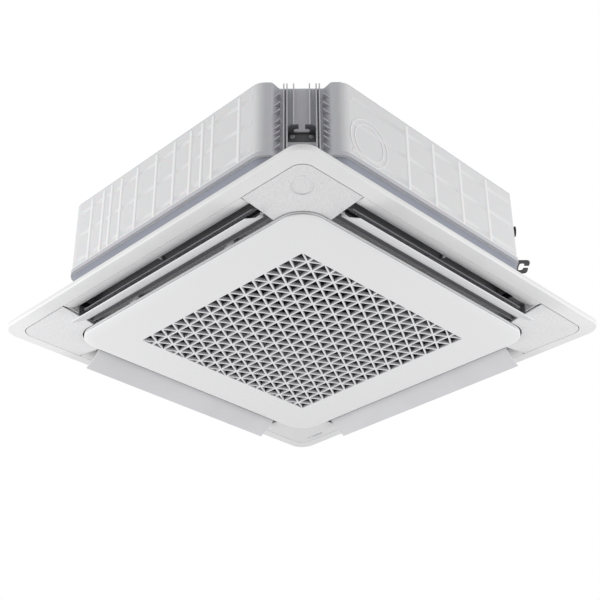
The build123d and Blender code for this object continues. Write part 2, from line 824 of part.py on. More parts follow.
def control_box():
    x, y = box_range()
    z = (box_low + box_sheet, box_low + box_height)
    box = block(x, y, z)
    inner_x = (x[0] + box_sheet, x[1] - box_sheet)
    inner_y = (y[0] + box_sheet, y[1] - box_sheet)
    return box - block(inner_x, inner_y, (z[0] - 1, z[1] - box_sheet))


def control_cover():
    x, y = box_range()
    return block(x, y, (box_low, box_low + box_sheet))


def control_board():
    """The main board with its larger components."""
    x, y = box_range()
    top = box_low + box_height - box_sheet
    board = block((x[0] + 8, x[1] - 8), (y[0] + 8, y[1] - 90), (top - 10, top - 8))
    for px, py in ((x[0] + 14, y[0] + 14), (x[1] - 14, y[1] - 96)):
        board += rod(3, (px, py, top - 9), (px, py, top))
    for number, height in enumerate((16, 24, 12, 20)):
        y_low = y[0] + 22 + number * 38
        board += block((x[0] + 22, x[1] - 24), (y_low, y_low + 22), (top - 9 - height, top - 9))
    return board


def terminal_block():
    x, y = box_range()
    top = box_low + box_height - box_sheet
    strip = block((x[0] + 14, x[1] - 14), (y[1] - 60, y[1] - 36), (top - 22, top))
    for number in range(5):
        place = x[0] + 19 + number * 10.5
        strip -= block((place - 3, place + 3), (y[1] - 56, y[1] - 40), (top - 23, top - 16))
    return strip


def air_sensor():
    """The return-air sensor in its clip on the bell mouth's flange."""
    base = pan_base - bell_sheet
    clip = block((-6, 6), (-256, -244), (base - 8, base))
    return clip + rod(3, (-18, -250, base - 5), (18, -250, base - 5))


# ---- Panel frame

panel_screw_radius = 2.5
panel_screw_grip = 14.0
hinge_axis = 345.0        # distance of the grille's hinge axis from the middle, at the back
hinge_depth = 28.0
hinge_places = (-200.0, 200.0)
hinge_pin = 2.0
hinge_ear_radius = 3.3
hinge_knuckle_radius = 4.0
hinge_ear = 4.0
hinge_knuckle = 8.0
latch_places = (-150.0, 150.0)
keeper_depth = 5.0
keeper_top = 11.0


def panel_border():
    """The outer frame from the rim to the parting line, hollow behind."""
    bevel_z = -rim_height - rim_bevel
    outer = slab(half_panel, panel_corner, -rim_height, 0)
    outer += frustum(half_panel - rim_bevel, panel_corner - rim_bevel, bevel_z, half_panel, panel_corner, -rim_height)
    outer += frustum(parting, parting_corner, -border_depth,
                     half_panel - rim_bevel, panel_corner - rim_bevel, bevel_z)
    hollow = slab(half_panel - 12, panel_corner - 10, -skin, 1)
    hollow += frustum(parting, parting_corner, -border_depth + skin,
                      half_panel - skin - rim_bevel, panel_corner - skin - rim_bevel, bevel_z + skin)
    hollow += slab(half_panel - skin - rim_bevel, panel_corner - skin - rim_bevel, bevel_z + skin, -skin)
    wall = slab(parting + skin, parting_corner + skin, -border_depth, 0)
    ring = outer - hollow + (wall & outer)
    return ring - slab(parting, parting_corner, -border_depth - 1, 1)


def rolled_lip():
    """The outlet's outer wall, which rolls from the groove at the parting line up into the air way."""
    wide = parting - outlet_outer
    high = border_depth + roll_height
    middle = (-parting, roll_height)
    outer = EllipticalCenterArc(middle, wide, high, start_angle=270, arc_size=90)
    inner = EllipticalCenterArc(middle, wide - outlet_wall, high - outlet_wall, start_angle=270, arc_size=90)
    face = make_face([outer, inner, Line(outer @ 0, inner @ 0), Line(outer @ 1, inner @ 1)])
    groove = block((-outlet_half, outlet_half), (-parting - 1, -parting + parting_gap),
                   (-border_depth - 1, -border_depth + parting_gap))
    return extrude(Plane.YZ.offset(-outlet_half) * face, 2 * outlet_half) - groove


def cover_inside(distance):
    """Depth of the corner covers' inner face at a distance from the middle."""
    slope = (cover_depth - border_depth) / (parting - cover_inner)
    return -border_depth + skin - (parting - distance) * slope


def outlet_end(way):
    """The wall at one end of an outlet, with the holes for the two vanes' pins."""
    outline = [(-parting, 0), (-ring_wall, 0), (-ring_wall, cover_inside(ring_wall) + 1),
               (-parting, cover_inside(parting) + 1)]
    start = outlet_half if way > 0 else -outlet_half - outlet_wall
    wall = extrude(Plane.YZ.offset(start) * profile_face(outline), outlet_wall)
    holes = ((vane_pivot, vane_pivot_depth, pin_radius), (second_pivot, second_pivot_depth, second_pin))
    for distance, depth, radius in holes:
        wall -= rod(radius + bore_gap, (start - 1, -distance, -depth), (start + outlet_wall + 1, -distance, -depth))
    return wall


def outlet_blank(step):
    """Closes the collar where the air way is shorter beside the pipe corner."""
    blank = block((-outlet_half, outlet_half), (-outlet_outer, -outlet_inner), (roll_height - outlet_wall, roll_height))
    return turned(blank, step) - pan_outlet(step, roll_height - outlet_wall - 1, roll_height + 1)


def outlet_duct(step):
    """One outlet's lip, inner wall, end walls, collar and the stay over the second vane."""
    end = outlet_half + outlet_wall
    inner = block((-end, end), (-outlet_inner, -ring_wall), (cover_inside(ring_wall) + 1, roll_height))
    collar = block((-end, end), (-outlet_outer - outlet_wall, -ring_wall), (0, roll_height))
    collar -= block((-outlet_half, outlet_half), (-outlet_outer, -outlet_inner), (-1, roll_height + 1))
    stay_end = second_pivot + second_hub_radius + 1.5
    stay = block((-1, 1), (-outlet_outer - 2, -stay_end), (-second_pivot_depth + 0.5, roll_height))
    duct = turned(inner + [rolled_lip(), outlet_end(-1), outlet_end(1), collar, stay], step)
    if step in (1, 2):
        duct += outlet_blank(step)
    return duct


def outlet_ducts():
    return Compound([outlet_duct(step) for step in range(4)])


def latch_keepers():
    """Two steel strips on the front outlet's inner wall, which hold the grille's catches."""
    return Compound([block((place - 12, place + 12), (-ring_wall, -ring_wall + keeper_depth),
                           (-keeper_top - skin, -keeper_top)) for place in latch_places])


def motor_window():
    gap = seat_gap
    start = outlet_half + outlet_wall
    return block((start, start + motor_length + gap), (-second_pivot - motor_radius - gap,
                 -second_pivot + motor_radius + gap), (-base_plate - 1, 1))


def hinge_ears():
    ears = []
    for place in hinge_places:
        for way in (-1, 1):
            inner = hinge_knuckle / 2 + seat_gap
            x = sorted((place + way * inner, place + way * (inner + hinge_ear)))
            ear = block(x, (hinge_axis - hinge_ear_radius, hinge_axis + hinge_ear_radius),
                        (-hinge_depth, -base_plate + 0.5))
            ear += rod(hinge_ear_radius, (x[0], hinge_axis, -hinge_depth), (x[1], hinge_axis, -hinge_depth))
            ear -= rod(hinge_pin + bore_gap, (x[0] - 1, hinge_axis, -hinge_depth),
                       (x[1] + 1, hinge_axis, -hinge_depth))
            ears.append(ear)
    return ears


def panel_frame():
    """The inner plate that carries the outlets, the border and the grille's hinge."""
    plate = slab(parting, parting_corner, -base_plate, 0)
    plate -= slab(intake_opening / 2, intake_corner, -base_plate - 1, 1)
    end = outlet_half + outlet_wall
    for step in range(4):
        air_way = block((-end, end), (-parting - 1, -ring_wall), (-base_plate - 1, 1))
        plate -= turned(air_way, step)
        plate -= turned(motor_window(), step)
    for x, y in panel_screw_places():
        plate -= rod(panel_screw_radius + slip_gap, (x, y, -base_plate - 1), (x, y, 1))
    return plate + hinge_ears()


def panel_screws():
    screws = []
    for x, y in panel_screw_places():
        screw = rod(panel_screw_radius, (x, y, -base_plate - 1), (x, y, pan_base + panel_screw_grip - 1))
        screw += rod(panel_screw_radius * 2, (x, y, -base_plate - 4), (x, y, -base_plate))
        slot = block((x - 4, x + 4), (y - 0.6, y + 0.6), (-base_plate - 5, -base_plate - 2.5))
        cross = block((x - 0.6, x + 0.6), (y - 4, y + 4), (-base_plate - 5, -base_plate - 2.5))
        screws.append(screw - slot - cross)
    return Compound(screws)


def outlet_seals():
    """Foam strips between the panel's collars and the drain pan."""
    seals = []
    top = pan_base - seat_gap
    for step in range(4):
        seals.append(pan_outlet(step, roll_height, top, outlet_wall) - pan_outlet(step, roll_height - 1, top + 1))
    return Compound(seals)


# ---- Corner covers

cover_post = 9.0
cover_posts = ((409.0, -409.0), (330.0, -416.0), (416.0, -330.0))
dimple_radius = 22.5
dimple_place = 391.0
dimple_depth = 2.0
window_length = 34.0
window_height = 7.0


def cover_face_z(distance):
    return cover_inside(distance) - skin


def dimple_plane():
    """The cover's face at the middle of the dimple, where it tilts along the diagonal."""
    round_off = 1 - sqrt(0.5)
    inner = (cover_inner - (grille_corner + cover_gap) * round_off) * sqrt(2)
    outer = (parting - parting_gap - parting_corner * round_off) * sqrt(2)
    slope = (cover_depth - border_depth) / (outer - inner)
    z = -cover_depth + (dimple_place * sqrt(2) - inner) * slope
    return Plane(origin=(dimple_place, -dimple_place, z), z_dir=(-slope / sqrt(2), slope / sqrt(2), 1))


def corner_cover(step):
    """A clipped cover beside the rounded corner of the grille."""
    outer = parting - parting_gap
    shell = frustum(cover_inner, grille_corner + cover_gap, -cover_depth, outer, parting_corner, -border_depth)
    shell -= frustum(cover_inner, grille_corner + cover_gap, -cover_depth + skin,
                     outer, parting_corner, -border_depth + skin)
    shell += frustum(cover_inner, grille_corner + cover_gap, -cover_depth + skin - 0.01,
                     cover_inner + skin, grille_corner + cover_gap + skin, -cover_depth + skin)
    edge = outlet_half + outlet_wall + 1
    region = block((edge, half_panel), (-half_panel, -edge), (-face_depth, 0))
    cover = (shell - slab(cover_inner, grille_corner + cover_gap, -face_depth, 1)) & region
    for x, y in cover_posts:
        side = max(abs(x), abs(y))
        post = block((x - cover_post / 2, x + cover_post / 2), (y - cover_post / 2, y + cover_post / 2),
                     (cover_face_z(side) + skin - 1.5, -base_plate - seat_gap))
        cover += post
    if corners[step] == "front_right":
        plane = dimple_plane()
        cover -= plane.offset(-skin) * Cylinder(dimple_radius, skin + dimple_depth, align=low)
        cover += plane.offset(dimple_depth) * Cylinder(dimple_radius + 1.5, 2, align=low)
    if corners[step] == "back_left":
        cover -= receiver_cut()
    return turned(cover, step)


receiver_x = 366.0        # on the front right cover, before it is turned to the back left
button_x = 395.0
receiver_y = -420.0
button_radius = 3.5
board_thick = 1.6
board_z = -base_plate - 6


def receiver_cut():
    """The slot for the indicator window and the hole for the test button."""
    z = (-face_depth, -base_plate - seat_gap - 1)
    half = (window_length / 2 + seat_gap, window_height / 2 + seat_gap)
    slot = block((receiver_x - half[0], receiver_x + half[0]), (receiver_y - half[1], receiver_y + half[1]), z)
    return slot + rod(button_radius + seat_gap, (button_x, receiver_y, z[0]), (button_x, receiver_y, z[1]))


def receiver_window():
    """A translucent strip over the signal lamps and the remote receiver."""
    half = (window_length / 2, window_height / 2)
    strip = block((receiver_x - half[0], receiver_x + half[0]), (receiver_y - half[1], receiver_y + half[1]),
                  (cover_face_z(-receiver_y) - 0.8, board_z - 0.5))
    return turned(strip, 2)


def receiver_board():
    board = block((receiver_x - 18, button_x + 6), (receiver_y - 8, receiver_y + 8),
                  (board_z, board_z + board_thick))
    for x in (receiver_x - 12, button_x - 4):
        board += rod(2, (x, receiver_y, board_z), (x, receiver_y, -base_plate))
    return turned(board, 2)


def test_button():
    cap = rod(button_radius, (button_x, receiver_y, cover_face_z(-receiver_y) - 0.8),
              (button_x, receiver_y, board_z - 1.5))
    return turned(cap, 2)


# ---- Intake grille, filter and latches

def triangle(side, x, y, up):
    height = side * sqrt(3) / 2
    way = 1 if up else -1
    points = [(x - side / 2, y - way * height / 3), (x + side / 2, y - way * height / 3), (x, y + way * height * 2 / 3)]
    return profile_face(points)


def perforations():
    """Triangular holes in rows, every other one upside down, clipped to the square field."""
    pitch = field_size / cells_across
    row_height = field_size / rows_across
    side = pitch - bar_width * sqrt(3)
    half = field_size / 2
    holes = []
    for row in range(rows_across):
        base = -half + row * row_height
        for place in range(2 * cells_across - 1):
            x = -half + (place + 1) * pitch / 2
            up = (place + row) % 2 == 0
            y = base + row_height * (1 / 3 if up else 2 / 3)
            holes.append(triangle(side, x, y, up))
        for way in (-1, 1):
            place = -1 if way < 0 else 2 * cells_across - 1
            up = (place + row) % 2 == 0
            near = (base + bar_width / 2) if up else (base + row_height - bar_width / 2)
            far = near + (row_height - bar_width * 1.5) * (1 if up else -1)
            edge = way * (half - bar_width / 2)
            wide = (side - bar_width) / 2
            holes.append(profile_face([(edge, near), (edge - way * wide, near), (edge, far)]))
    return holes


def grille_lip(grow):
    """The grille's outer form, with its level face and rounded edge."""
    half = half_grille + grow
    corner = grille_corner + grow
    edge_z = -grille_groove_base - edge_drop
    body = slab(half, corner, -grille_groove_top, -grille_top)
    body += slab(half - grille_groove_cut, corner - grille_groove_cut, -grille_groove_base, -grille_groove_top)
    body += slab(half, corner, edge_z, -grille_groove_base)
    middle_z = edge_z - (face_depth + edge_z) * 0.75
    body += frustum(half - edge_round * 0.35, corner - edge_round * 0.3, middle_z, half, corner, edge_z)
    body += frustum(half - edge_round, corner - edge_round * 0.8, -face_depth,
                    half - edge_round * 0.35, corner - edge_round * 0.3, middle_z)
    return body


def hinge_room(place):
    """The notch in the grille's rim that lets it turn about the panel's ears."""
    floor = -hinge_depth - hinge_ear_radius - 0.4
    reach = hinge_ear_radius + 0.7
    outline = [(hinge_axis - reach, floor), (hinge_axis + reach, floor), (hinge_axis + reach + 0.5, floor + 1),
               (half_grille + 1, -hinge_depth - 0.5), (half_grille + 1, -grille_top + 1),
               (hinge_axis - reach, -grille_top + 1)]
    half = hinge_knuckle / 2 + hinge_ear + seat_gap * 3
    return extrude(Plane.YZ.offset(place - half) * profile_face(outline), 2 * half)


def hinge_knuckle_piece(place):
    x = (place - hinge_knuckle / 2, place + hinge_knuckle / 2)
    reach = hinge_ear_radius + 0.7
    knuckle = block(x, (hinge_axis - reach, hinge_axis + reach), (-hinge_depth - reach, -hinge_depth))
    knuckle += rod(hinge_knuckle_radius, (x[0], hinge_axis, -hinge_depth), (x[1], hinge_axis, -hinge_depth))
    return knuckle - rod(hinge_pin, (x[0] - 1, hinge_axis, -hinge_depth), (x[1] + 1, hinge_axis, -hinge_depth))


def intake_grille():
    grille = grille_lip(0)
    inner = half_grille - grille_wall
    grille -= slab(inner, grille_corner - grille_wall, -face_depth + face_skin + 2.5, -grille_top + 1)
    deep = half_grille - edge_round - 2
    grille -= slab(deep, grille_corner - edge_round, -face_depth + face_skin, -grille_top)
    field = field_size / 2 + bar_width
    grille += block((-field, field), (-field, field), (-face_depth, -face_depth + field_depth))
    cuts = extrude(Pos(0, 0, -face_depth - 1) * Sketch(perforations()), field_depth + 2)
    grille = grille - cuts
    for place in hinge_places:
        grille -= hinge_room(place)
        grille += hinge_knuckle_piece(place)
    return grille


def hinge_pins():
    reach = hinge_knuckle / 2 + seat_gap + hinge_ear
    return Compound([rod(hinge_pin, (place - reach, hinge_axis, -hinge_depth),
                         (place + reach, hinge_axis, -hinge_depth)) for place in hinge_places])


latch_tip = 1.0           # from the drawn-back tongue to the keeper
latch_plate = 3.0
latch_width = 20.0


def grille_latch(number):
    """A sliding catch on the grille's rim, drawn back from its keeper on the panel."""
    x = (latch_places[number] - latch_width / 2, latch_places[number] + latch_width / 2)
    tip = -(ring_wall - keeper_depth) + latch_tip
    base = -grille_top + seat_gap
    tongue_z = -keeper_top + 0.4
    latch = block(x, (tip + 1, tip + 26), (base, base + latch_plate))
    latch += block(x, (tip + 7, tip + 11), (base, tongue_z + latch_plate))
    return latch + block(x, (tip, tip + 11), (tongue_z, tongue_z + latch_plate))


filter_half = 272.0
filter_bar = 14.0
filter_height = 9.0
mesh_gaps = 16
mesh_bar = 3.0


def filter_z():
    start = -face_depth + face_skin + seat_gap
    return start, start + filter_height


def filter_frame():
    z = filter_z()
    opening = filter_half - filter_bar
    frame = slab(filter_half, 12, *z) - block((-opening, opening), (-opening, opening), (z[0] - 1, z[1] + 1))
    for way in (-1, 1):
        frame += block((way * 90 - 2, way * 90 + 2), (-filter_half + 4, filter_half - 4), (z[1] - 3, z[1]))
    return frame


def filter_mesh():
    """A woven net as one holed sheet."""
    half = filter_half - filter_bar - seat_gap
    z = -face_depth + field_depth + seat_gap
    pitch = (2 * half - mesh_bar) / mesh_gaps
    gap = pitch - mesh_bar
    sheet = Rectangle(2 * half, 2 * half)
    sheet -= GridLocations(pitch, pitch, mesh_gaps, mesh_gaps) * Rectangle(gap, gap)
    return extrude(Pos(0, 0, z) * sheet, 1.2)


# ---- Vanes

def blade_point(distance, depth, slope, along, below):
    """A point on a vane's section: along the blade from its axis, and below the axis."""
    angle = radians(slope)
    y = -distance - along * cos(angle) + below * sin(angle)
    z = -depth - along * sin(angle) - below * cos(angle)
    return y, z


def main_vane(step):
    """A long blade, slightly bowed, on two ears with pins."""
    def at(along, below):
        return blade_point(vane_pivot, vane_pivot_depth, vane_rest, along, below)
    low_face = vane_offset
    top_face = vane_offset - vane_thick
    bow = 1.5
    under = ThreePointArc(at(0, low_face), at(vane_chord / 2, low_face + bow), at(vane_chord, low_face))
    upper = ThreePointArc(at(0, top_face), at(vane_chord / 2, top_face + bow), at(vane_chord, top_face))
    face = make_face([under, upper, Line(under @ 0, upper @ 0), Line(under @ 1, upper @ 1)])
    vane = extrude(Plane.YZ.offset(-vane_half) * face, 2 * vane_half)
    axis_y, axis_z = at(0, 0)
    for way in (-1, 1):
        start = way * (vane_half - ear_thick) if way > 0 else -vane_half
        outline = [at(-3, 0), at(3, 0), at(22, top_face + 1), at(2, top_face + 1)]
        ear = extrude(Plane.YZ.offset(start) * profile_face(outline), ear_thick)
        ear += rod(3.5, (start, axis_y, axis_z), (start + ear_thick, axis_y, axis_z))
        vane += ear + rod(pin_radius, (way * (vane_half - 1), axis_y, axis_z),
                          (way * (outlet_half + outlet_wall), axis_y, axis_z))
    return turned(vane, step)


def second_vane(step):
    """The small inner blade, thicker at its middle bearing."""
    def at(along, below):
        return blade_point(second_pivot, second_pivot_depth, second_rest, along, below)
    half = second_thick / 2
    points = [at(-second_inner, -half), at(second_outer, -half), at(second_outer, half), at(-second_inner, half)]
    vane = extrude(Plane.YZ.offset(-second_half) * profile_face(points), 2 * second_half)
    axis_y, axis_z = at(0, 0)
    vane += rod(second_hub_radius, (-second_hub_half, axis_y, axis_z), (second_hub_half, axis_y, axis_z))
    for way in (-1, 1):
        vane += rod(second_pin, (way * (second_half - 12), axis_y, axis_z),
                    (way * (outlet_half + outlet_wall), axis_y, axis_z))
    return turned(vane, step)


def vane_motors():
    """One stepper motor per outlet, on the axis of the inner blade."""
    motors = []
    start = outlet_half + outlet_wall + seat_gap
    for step in range(4):
        motor = rod(motor_radius, (start, -second_pivot, -second_pivot_depth),
                    (start + motor_length - 2 * seat_gap, -second_pivot, -second_pivot_depth))
        motors.append(turned(motor, step))
    return Compound(motors)


# ---- Write every piece

save("cabinet_shell", cabinet_shell())
save("top_plate", top_plate())
save("cabinet_liner", cabinet_liner())
save("drain_pan", drain_pan())
save("pan_skirt", pan_skirt())
save("bell_mouth", bell_mouth())
save("turbo_fan", turbo_fan())
save("fan_motor", fan_motor())
save("motor_shaft", motor_shaft())
save("fan_nut", fan_nut())
save("motor_mounts", motor_mounts())
save("coil_fins", coil_fins())
save("coil_end_plates", coil_end_plates())
save("coil_bends", coil_bends())
save("gas_pipe", gas_pipe())
save("liquid_pipe", liquid_pipe())
save("flare_unions", flare_unions())
save("pipe_plate", pipe_plate())
save("cable_gland", cable_gland())
save("drain_outlet", drain_outlet())
save("drain_hose", drain_hose())
save("drain_pump", drain_pump())
save("pump_impeller", pump_impeller())
save("float_stem", float_stem_piece())
save("float_ring", float_ring())
save("control_box", control_box())
save("control_cover", control_cover())
save("control_board", control_board())
save("terminal_block", terminal_block())
save("air_sensor", air_sensor())
save("hanger_brackets", hanger_brackets())
save("bracket_screws", bracket_screws())
save("panel_frame", panel_frame())
save("panel_border", panel_border())
save("outlet_ducts", outlet_ducts())
save("latch_keepers", latch_keepers())
save("panel_screws", panel_screws())
save("outlet_seals", outlet_seals())
save("intake_grille", intake_grille())
save("hinge_pins", hinge_pins())
save("filter_frame", filter_frame())
save("filter_mesh", filter_mesh())
save("vane_motors", vane_motors())
save("receiver_window", receiver_window())
save("receiver_board", receiver_board())
save("test_button", test_button())
for number, side in enumerate(("left", "right")):
    save("grille_latch_" + side, grille_latch(number))
for step, side in enumerate(sides):
    save("main_vane_" + side, main_vane(step))
    save("second_vane_" + side, second_vane(step))
for step, corner in enumerate(corners):
    save("corner_cover_" + corner, corner_cover(step))
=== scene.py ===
import math

import bmesh
import bpy
from mathutils import Matrix, Vector


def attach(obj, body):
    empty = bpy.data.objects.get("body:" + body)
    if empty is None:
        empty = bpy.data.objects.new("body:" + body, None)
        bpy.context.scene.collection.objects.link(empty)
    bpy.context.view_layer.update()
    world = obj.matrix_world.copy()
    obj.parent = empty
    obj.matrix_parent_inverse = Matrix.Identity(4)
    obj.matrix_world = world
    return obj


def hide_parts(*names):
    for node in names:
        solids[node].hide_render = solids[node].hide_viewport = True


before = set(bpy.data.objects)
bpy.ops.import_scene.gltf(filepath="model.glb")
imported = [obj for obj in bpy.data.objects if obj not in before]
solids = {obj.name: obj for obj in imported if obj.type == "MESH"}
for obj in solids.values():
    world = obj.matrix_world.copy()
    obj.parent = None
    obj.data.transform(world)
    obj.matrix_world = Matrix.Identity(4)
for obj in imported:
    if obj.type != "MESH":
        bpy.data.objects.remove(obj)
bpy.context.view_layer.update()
sides = ("front", "right", "back", "left")
corners = ("front_right", "back_right", "back_left", "front_left")


# ---- Sizes that finishes and pieces share, in metres

field = 0.505             # side of the grille's perforated square
field_depth = 0.007       # thickness of its lattice
field_bar = 0.0037        # width of the lattice's bars
face_z = -0.035           # the grille's face
painted_shade_near = 0.0003        # behind the face, where the painted shade in the holes begins
painted_shade_deep = 0.0062        # behind the face, where the painted shade is darkest
painted_shade_margin = 0.002       # past the perforated square's sides, where the painted shade ends
duct_shade_edge = 0.402         # from the unit's middle to where the painted shade on the air ways' walls ends and the outlets' pale lips begin
notch_reach = 0.410       # from the middle to the cabinet's sheet in a notch, where the painted shade is darkest
bead_reach = 0.422        # from the middle to the tops of its pressed beads, where the painted highlight is brightest
flange_low = 0.0945       # the top of its lower flange lies between these two; below it lies painted shade
flange_high = 0.0965
weld = 0.00001            # corners closer than this are one
wide_weld = 0.00003       # the same, where a lattice or a loft closes on itself


# ---- Small helpers

def linear(colour):
    """An sRGB hex value as the linear colour that the sockets take."""
    parts = [int(colour[i:i + 2], 16) / 255 for i in (1, 3, 5)]
    return tuple(p / 12.92 if p <= 0.04045 else ((p + 0.055) / 1.055) ** 2.4 for p in parts) + (1.0,)


def add(tree, kind, inputs=None, **settings):
    """Adds one node with its settings. An input takes a value, a socket, a node, which stands for its
    first socket, or a list of these where it joins them."""
    node = tree.nodes.new(kind)
    for name, value in settings.items():
        setattr(node, name, value)
    for name, value in (inputs or {}).items():
        for source in value if isinstance(value, list) else [value]:
            if isinstance(source, bpy.types.Node):
                source = source.outputs[0]
            if isinstance(source, bpy.types.NodeSocket):
                tree.links.new(source, node.inputs[name])
            else:
                node.inputs[name].default_value = source
    return node


def surface(name, colour, roughness, metallic=0.0, **sockets):
    """A material whose constants sit on the shader, with its coordinates ready."""
    material = bpy.data.materials.new(name)
    material.use_nodes = True
    tree = material.node_tree
    shader = tree.nodes["Principled BSDF"]
    shader.inputs["Base Color"].default_value = linear(colour)
    shader.inputs["Roughness"].default_value = roughness
    shader.inputs["Metallic"].default_value = metallic
    for socket, value in sockets.items():
        shader.inputs[socket.replace("_", " ")].default_value = value
    place = add(tree, "ShaderNodeTexCoord").outputs["Object"]
    return material, tree, shader, place


def blend(tree, shader, share, dark, light):
    """Colours the surface between two colours or sockets, by a share of the second."""
    tones = add(tree, "ShaderNodeMix", {0: share, 6: dark, 7: light}, data_type="RGBA")
    tree.links.new(tones.outputs[2], shader.inputs["Base Color"])


def tint(tree, shader, amount, dark, light, low=0.3, high=0.7):
    """Lets the colour wander between two tones as a pattern goes from low to high."""
    share = add(tree, "ShaderNodeMapRange", {"Value": amount, "From Min": low, "From Max": high})
    blend(tree, shader, share, linear(dark), linear(light))


def vary_gloss(tree, shader, amount, low, high):
    """Lets the roughness wander between two values as a 0 to 1 pattern goes."""
    rough = add(tree, "ShaderNodeMapRange", {"Value": amount, "To Min": low, "To Max": high})
    tree.links.new(rough.outputs["Result"], shader.inputs["Roughness"])


def relief(tree, shader, height, depth_mm, strength=1.0):
    """Raises the surface by a pattern, with its depth in millimetres."""
    bump = add(tree, "ShaderNodeBump", {"Height": height, "Distance": depth_mm / 1000,
                                        "Strength": strength})
    tree.links.new(bump.outputs["Normal"], shader.inputs["Normal"])


def grain(tree, place, size_mm, detail=2.0, rough=0.5):
    """Soft noise with blotches of a real size."""
    return add(tree, "ShaderNodeTexNoise", {"Vector": place, "Scale": 1000 / size_mm, "Detail": detail,
                                            "Roughness": rough}).outputs["Fac"]


def reach_and_height(tree, place):
    """How far a place is from the unit's middle, along X or Y, and how high it is."""
    where = add(tree, "ShaderNodeSeparateXYZ", {0: place})
    across, along = [add(tree, "ShaderNodeMath", {0: where.outputs[axis]}, operation="ABSOLUTE")
                     for axis in "XY"]
    return add(tree, "ShaderNodeMath", {0: across, 1: along}, operation="MAXIMUM"), where.outputs["Z"]


# ---- Finishes

plastic_ior = 1.53        # ABS; the other plastics here lie close to it
spark_mm = 2.2            # grain of a spark-eroded mould, drawn coarser than life so that it shows at all
spark_depth_mm = 0.012


def moulded_plastic(name, dark, light, roughness, grain_mm=spark_mm, depth_mm=spark_depth_mm):
    """Injection-moulded thermoplastic, most of it ABS: even and slightly satin, with a fine spark-eroded
    grain that takes the sparkle off highlights."""
    material, tree, shader, place = surface(name, light, roughness, IOR=plastic_ior, Specular_IOR_Level=0.45)
    tint(tree, shader, grain(tree, place, 160, 3), dark, light)
    relief(tree, shader, grain(tree, place, grain_mm), depth_mm)
    return material


def duct_abs_painted_shade(name, outer, inner):
    """Moulded ABS, pale on the lips that face the room, with painted shade in a quiet grey on the walls of
    the air ways, nearer the unit's middle."""
    material, tree, shader, place = surface(name, outer, 0.55, IOR=plastic_ior, Specular_IOR_Level=0.3)
    reach, _ = reach_and_height(tree, place)
    # Painted shade: grey nearer the unit's middle than the lips' edge, white beyond it.
    tint(tree, shader, reach, inner, outer, duct_shade_edge - 0.001, duct_shade_edge + 0.001)
    relief(tree, shader, grain(tree, place, spark_mm), spark_depth_mm)
    return material


def lattice_abs_painted_shade(name, light, shade_mid, shade_deepest):
    """The grille's white ABS: plain on its face, with painted shade on the walls of its holes that darkens
    towards the filter, so that each triangle reads as a dark opening."""
    material, tree, shader, place = surface(name, light, 0.42, IOR=plastic_ior, Specular_IOR_Level=0.4)
    reach, height = reach_and_height(tree, place)
    # Painted shade: the holes' walls go from white to grey to near black with depth behind the face.
    depth = add(tree, "ShaderNodeMapRange", {"Value": height, "From Min": face_z + painted_shade_near,
                                             "From Max": face_z + painted_shade_deep})
    painted_hole_shade = add(tree, "ShaderNodeValToRGB", {"Fac": depth})
    stops = painted_hole_shade.color_ramp.elements
    stops[0].color = linear(light)
    stops[1].color = linear(shade_deepest)
    stops.new(0.12).color = linear(shade_mid)
    inside = add(tree, "ShaderNodeMath", {0: reach, 1: field / 2 + painted_shade_margin}, operation="LESS_THAN")
    blend(tree, shader, inside, linear(light), painted_hole_shade)
    relief(tree, shader, grain(tree, place, spark_mm), spark_depth_mm)
    return material


def stippled_abs(name, dark, light, pitch_mm=4.2):
    """ABS from an etched mould: a close stipple of shallow pits that dulls the face, drawn coarser than
    life so that it shows."""
    material, tree, shader, place = surface(name, light, 0.48, IOR=plastic_ior, Specular_IOR_Level=0.4)
    pits = add(tree, "ShaderNodeTexVoronoi", {"Vector": place, "Scale": 1000 / pitch_mm}).outputs["Distance"]
    tint(tree, shader, pits, dark, light, 0.15, 0.6)
    relief(tree, shader, pits, 0.1, 0.5)
    return material


def bead_foam(name, dark, light, bead_mm=6.0):
    """Expanded polystyrene: matte, with the faint outlines of its fused beads pressed into the skin."""
    material, tree, shader, place = surface(name, light, 0.82, Specular_IOR_Level=0.3)
    beads = add(tree, "ShaderNodeTexVoronoi", {"Vector": place, "Scale": 1000 / bead_mm}).outputs["Distance"]
    edge = add(tree, "ShaderNodeMath", {0: beads, 1: 0.5}, operation="SUBTRACT")
    shade_of_edge = add(tree, "ShaderNodeMath", {0: edge, 1: 0.25}, operation="MULTIPLY")
    blotch = add(tree, "ShaderNodeMath", {0: grain(tree, place, 90, 3), 1: shade_of_edge},
                 operation="SUBTRACT")
    tint(tree, shader, blotch, dark, light)
    relief(tree, shader, beads, 0.25, 0.35)
    return material


def cabinet_skin_painted_light(name, thin, sheet, stretched):
    """Vacuum-formed white sheet over grey foam: matte and slightly see-through. Its colour holds painted
    shade in the notches and under the lower flange, and a painted highlight on the tops of its beads."""
    material, tree, shader, place = surface(name, sheet, 0.6, Specular_IOR_Level=0.35,
                                            Subsurface_Weight=0.12, Subsurface_Scale=0.004)
    reach, height = reach_and_height(tree, place)
    # Painted light by reach from the middle: painted shade in the notches, the sheet's own white, then a
    # painted highlight on the bead tops.
    outwards = add(tree, "ShaderNodeMapRange", {"Value": reach, "From Min": notch_reach,
                                                "From Max": bead_reach})
    drawn = add(tree, "ShaderNodeValToRGB", {"Fac": outwards})
    stops = drawn.color_ramp.elements
    stops[0].color = linear(thin)
    stops[1].color = linear(stretched)
    for share, colour in ((0.81, sheet), (0.86, sheet), (0.93, stretched)):
        stops.new(share).color = linear(colour)
    # Painted shade below the top of the lower flange.
    above = add(tree, "ShaderNodeMapRange", {"Value": height, "From Min": flange_low,
                                             "From Max": flange_high})
    blend(tree, shader, above, linear(thin), drawn)
    relief(tree, shader, grain(tree, place, 26, 3), 0.12, 0.5)
    return material


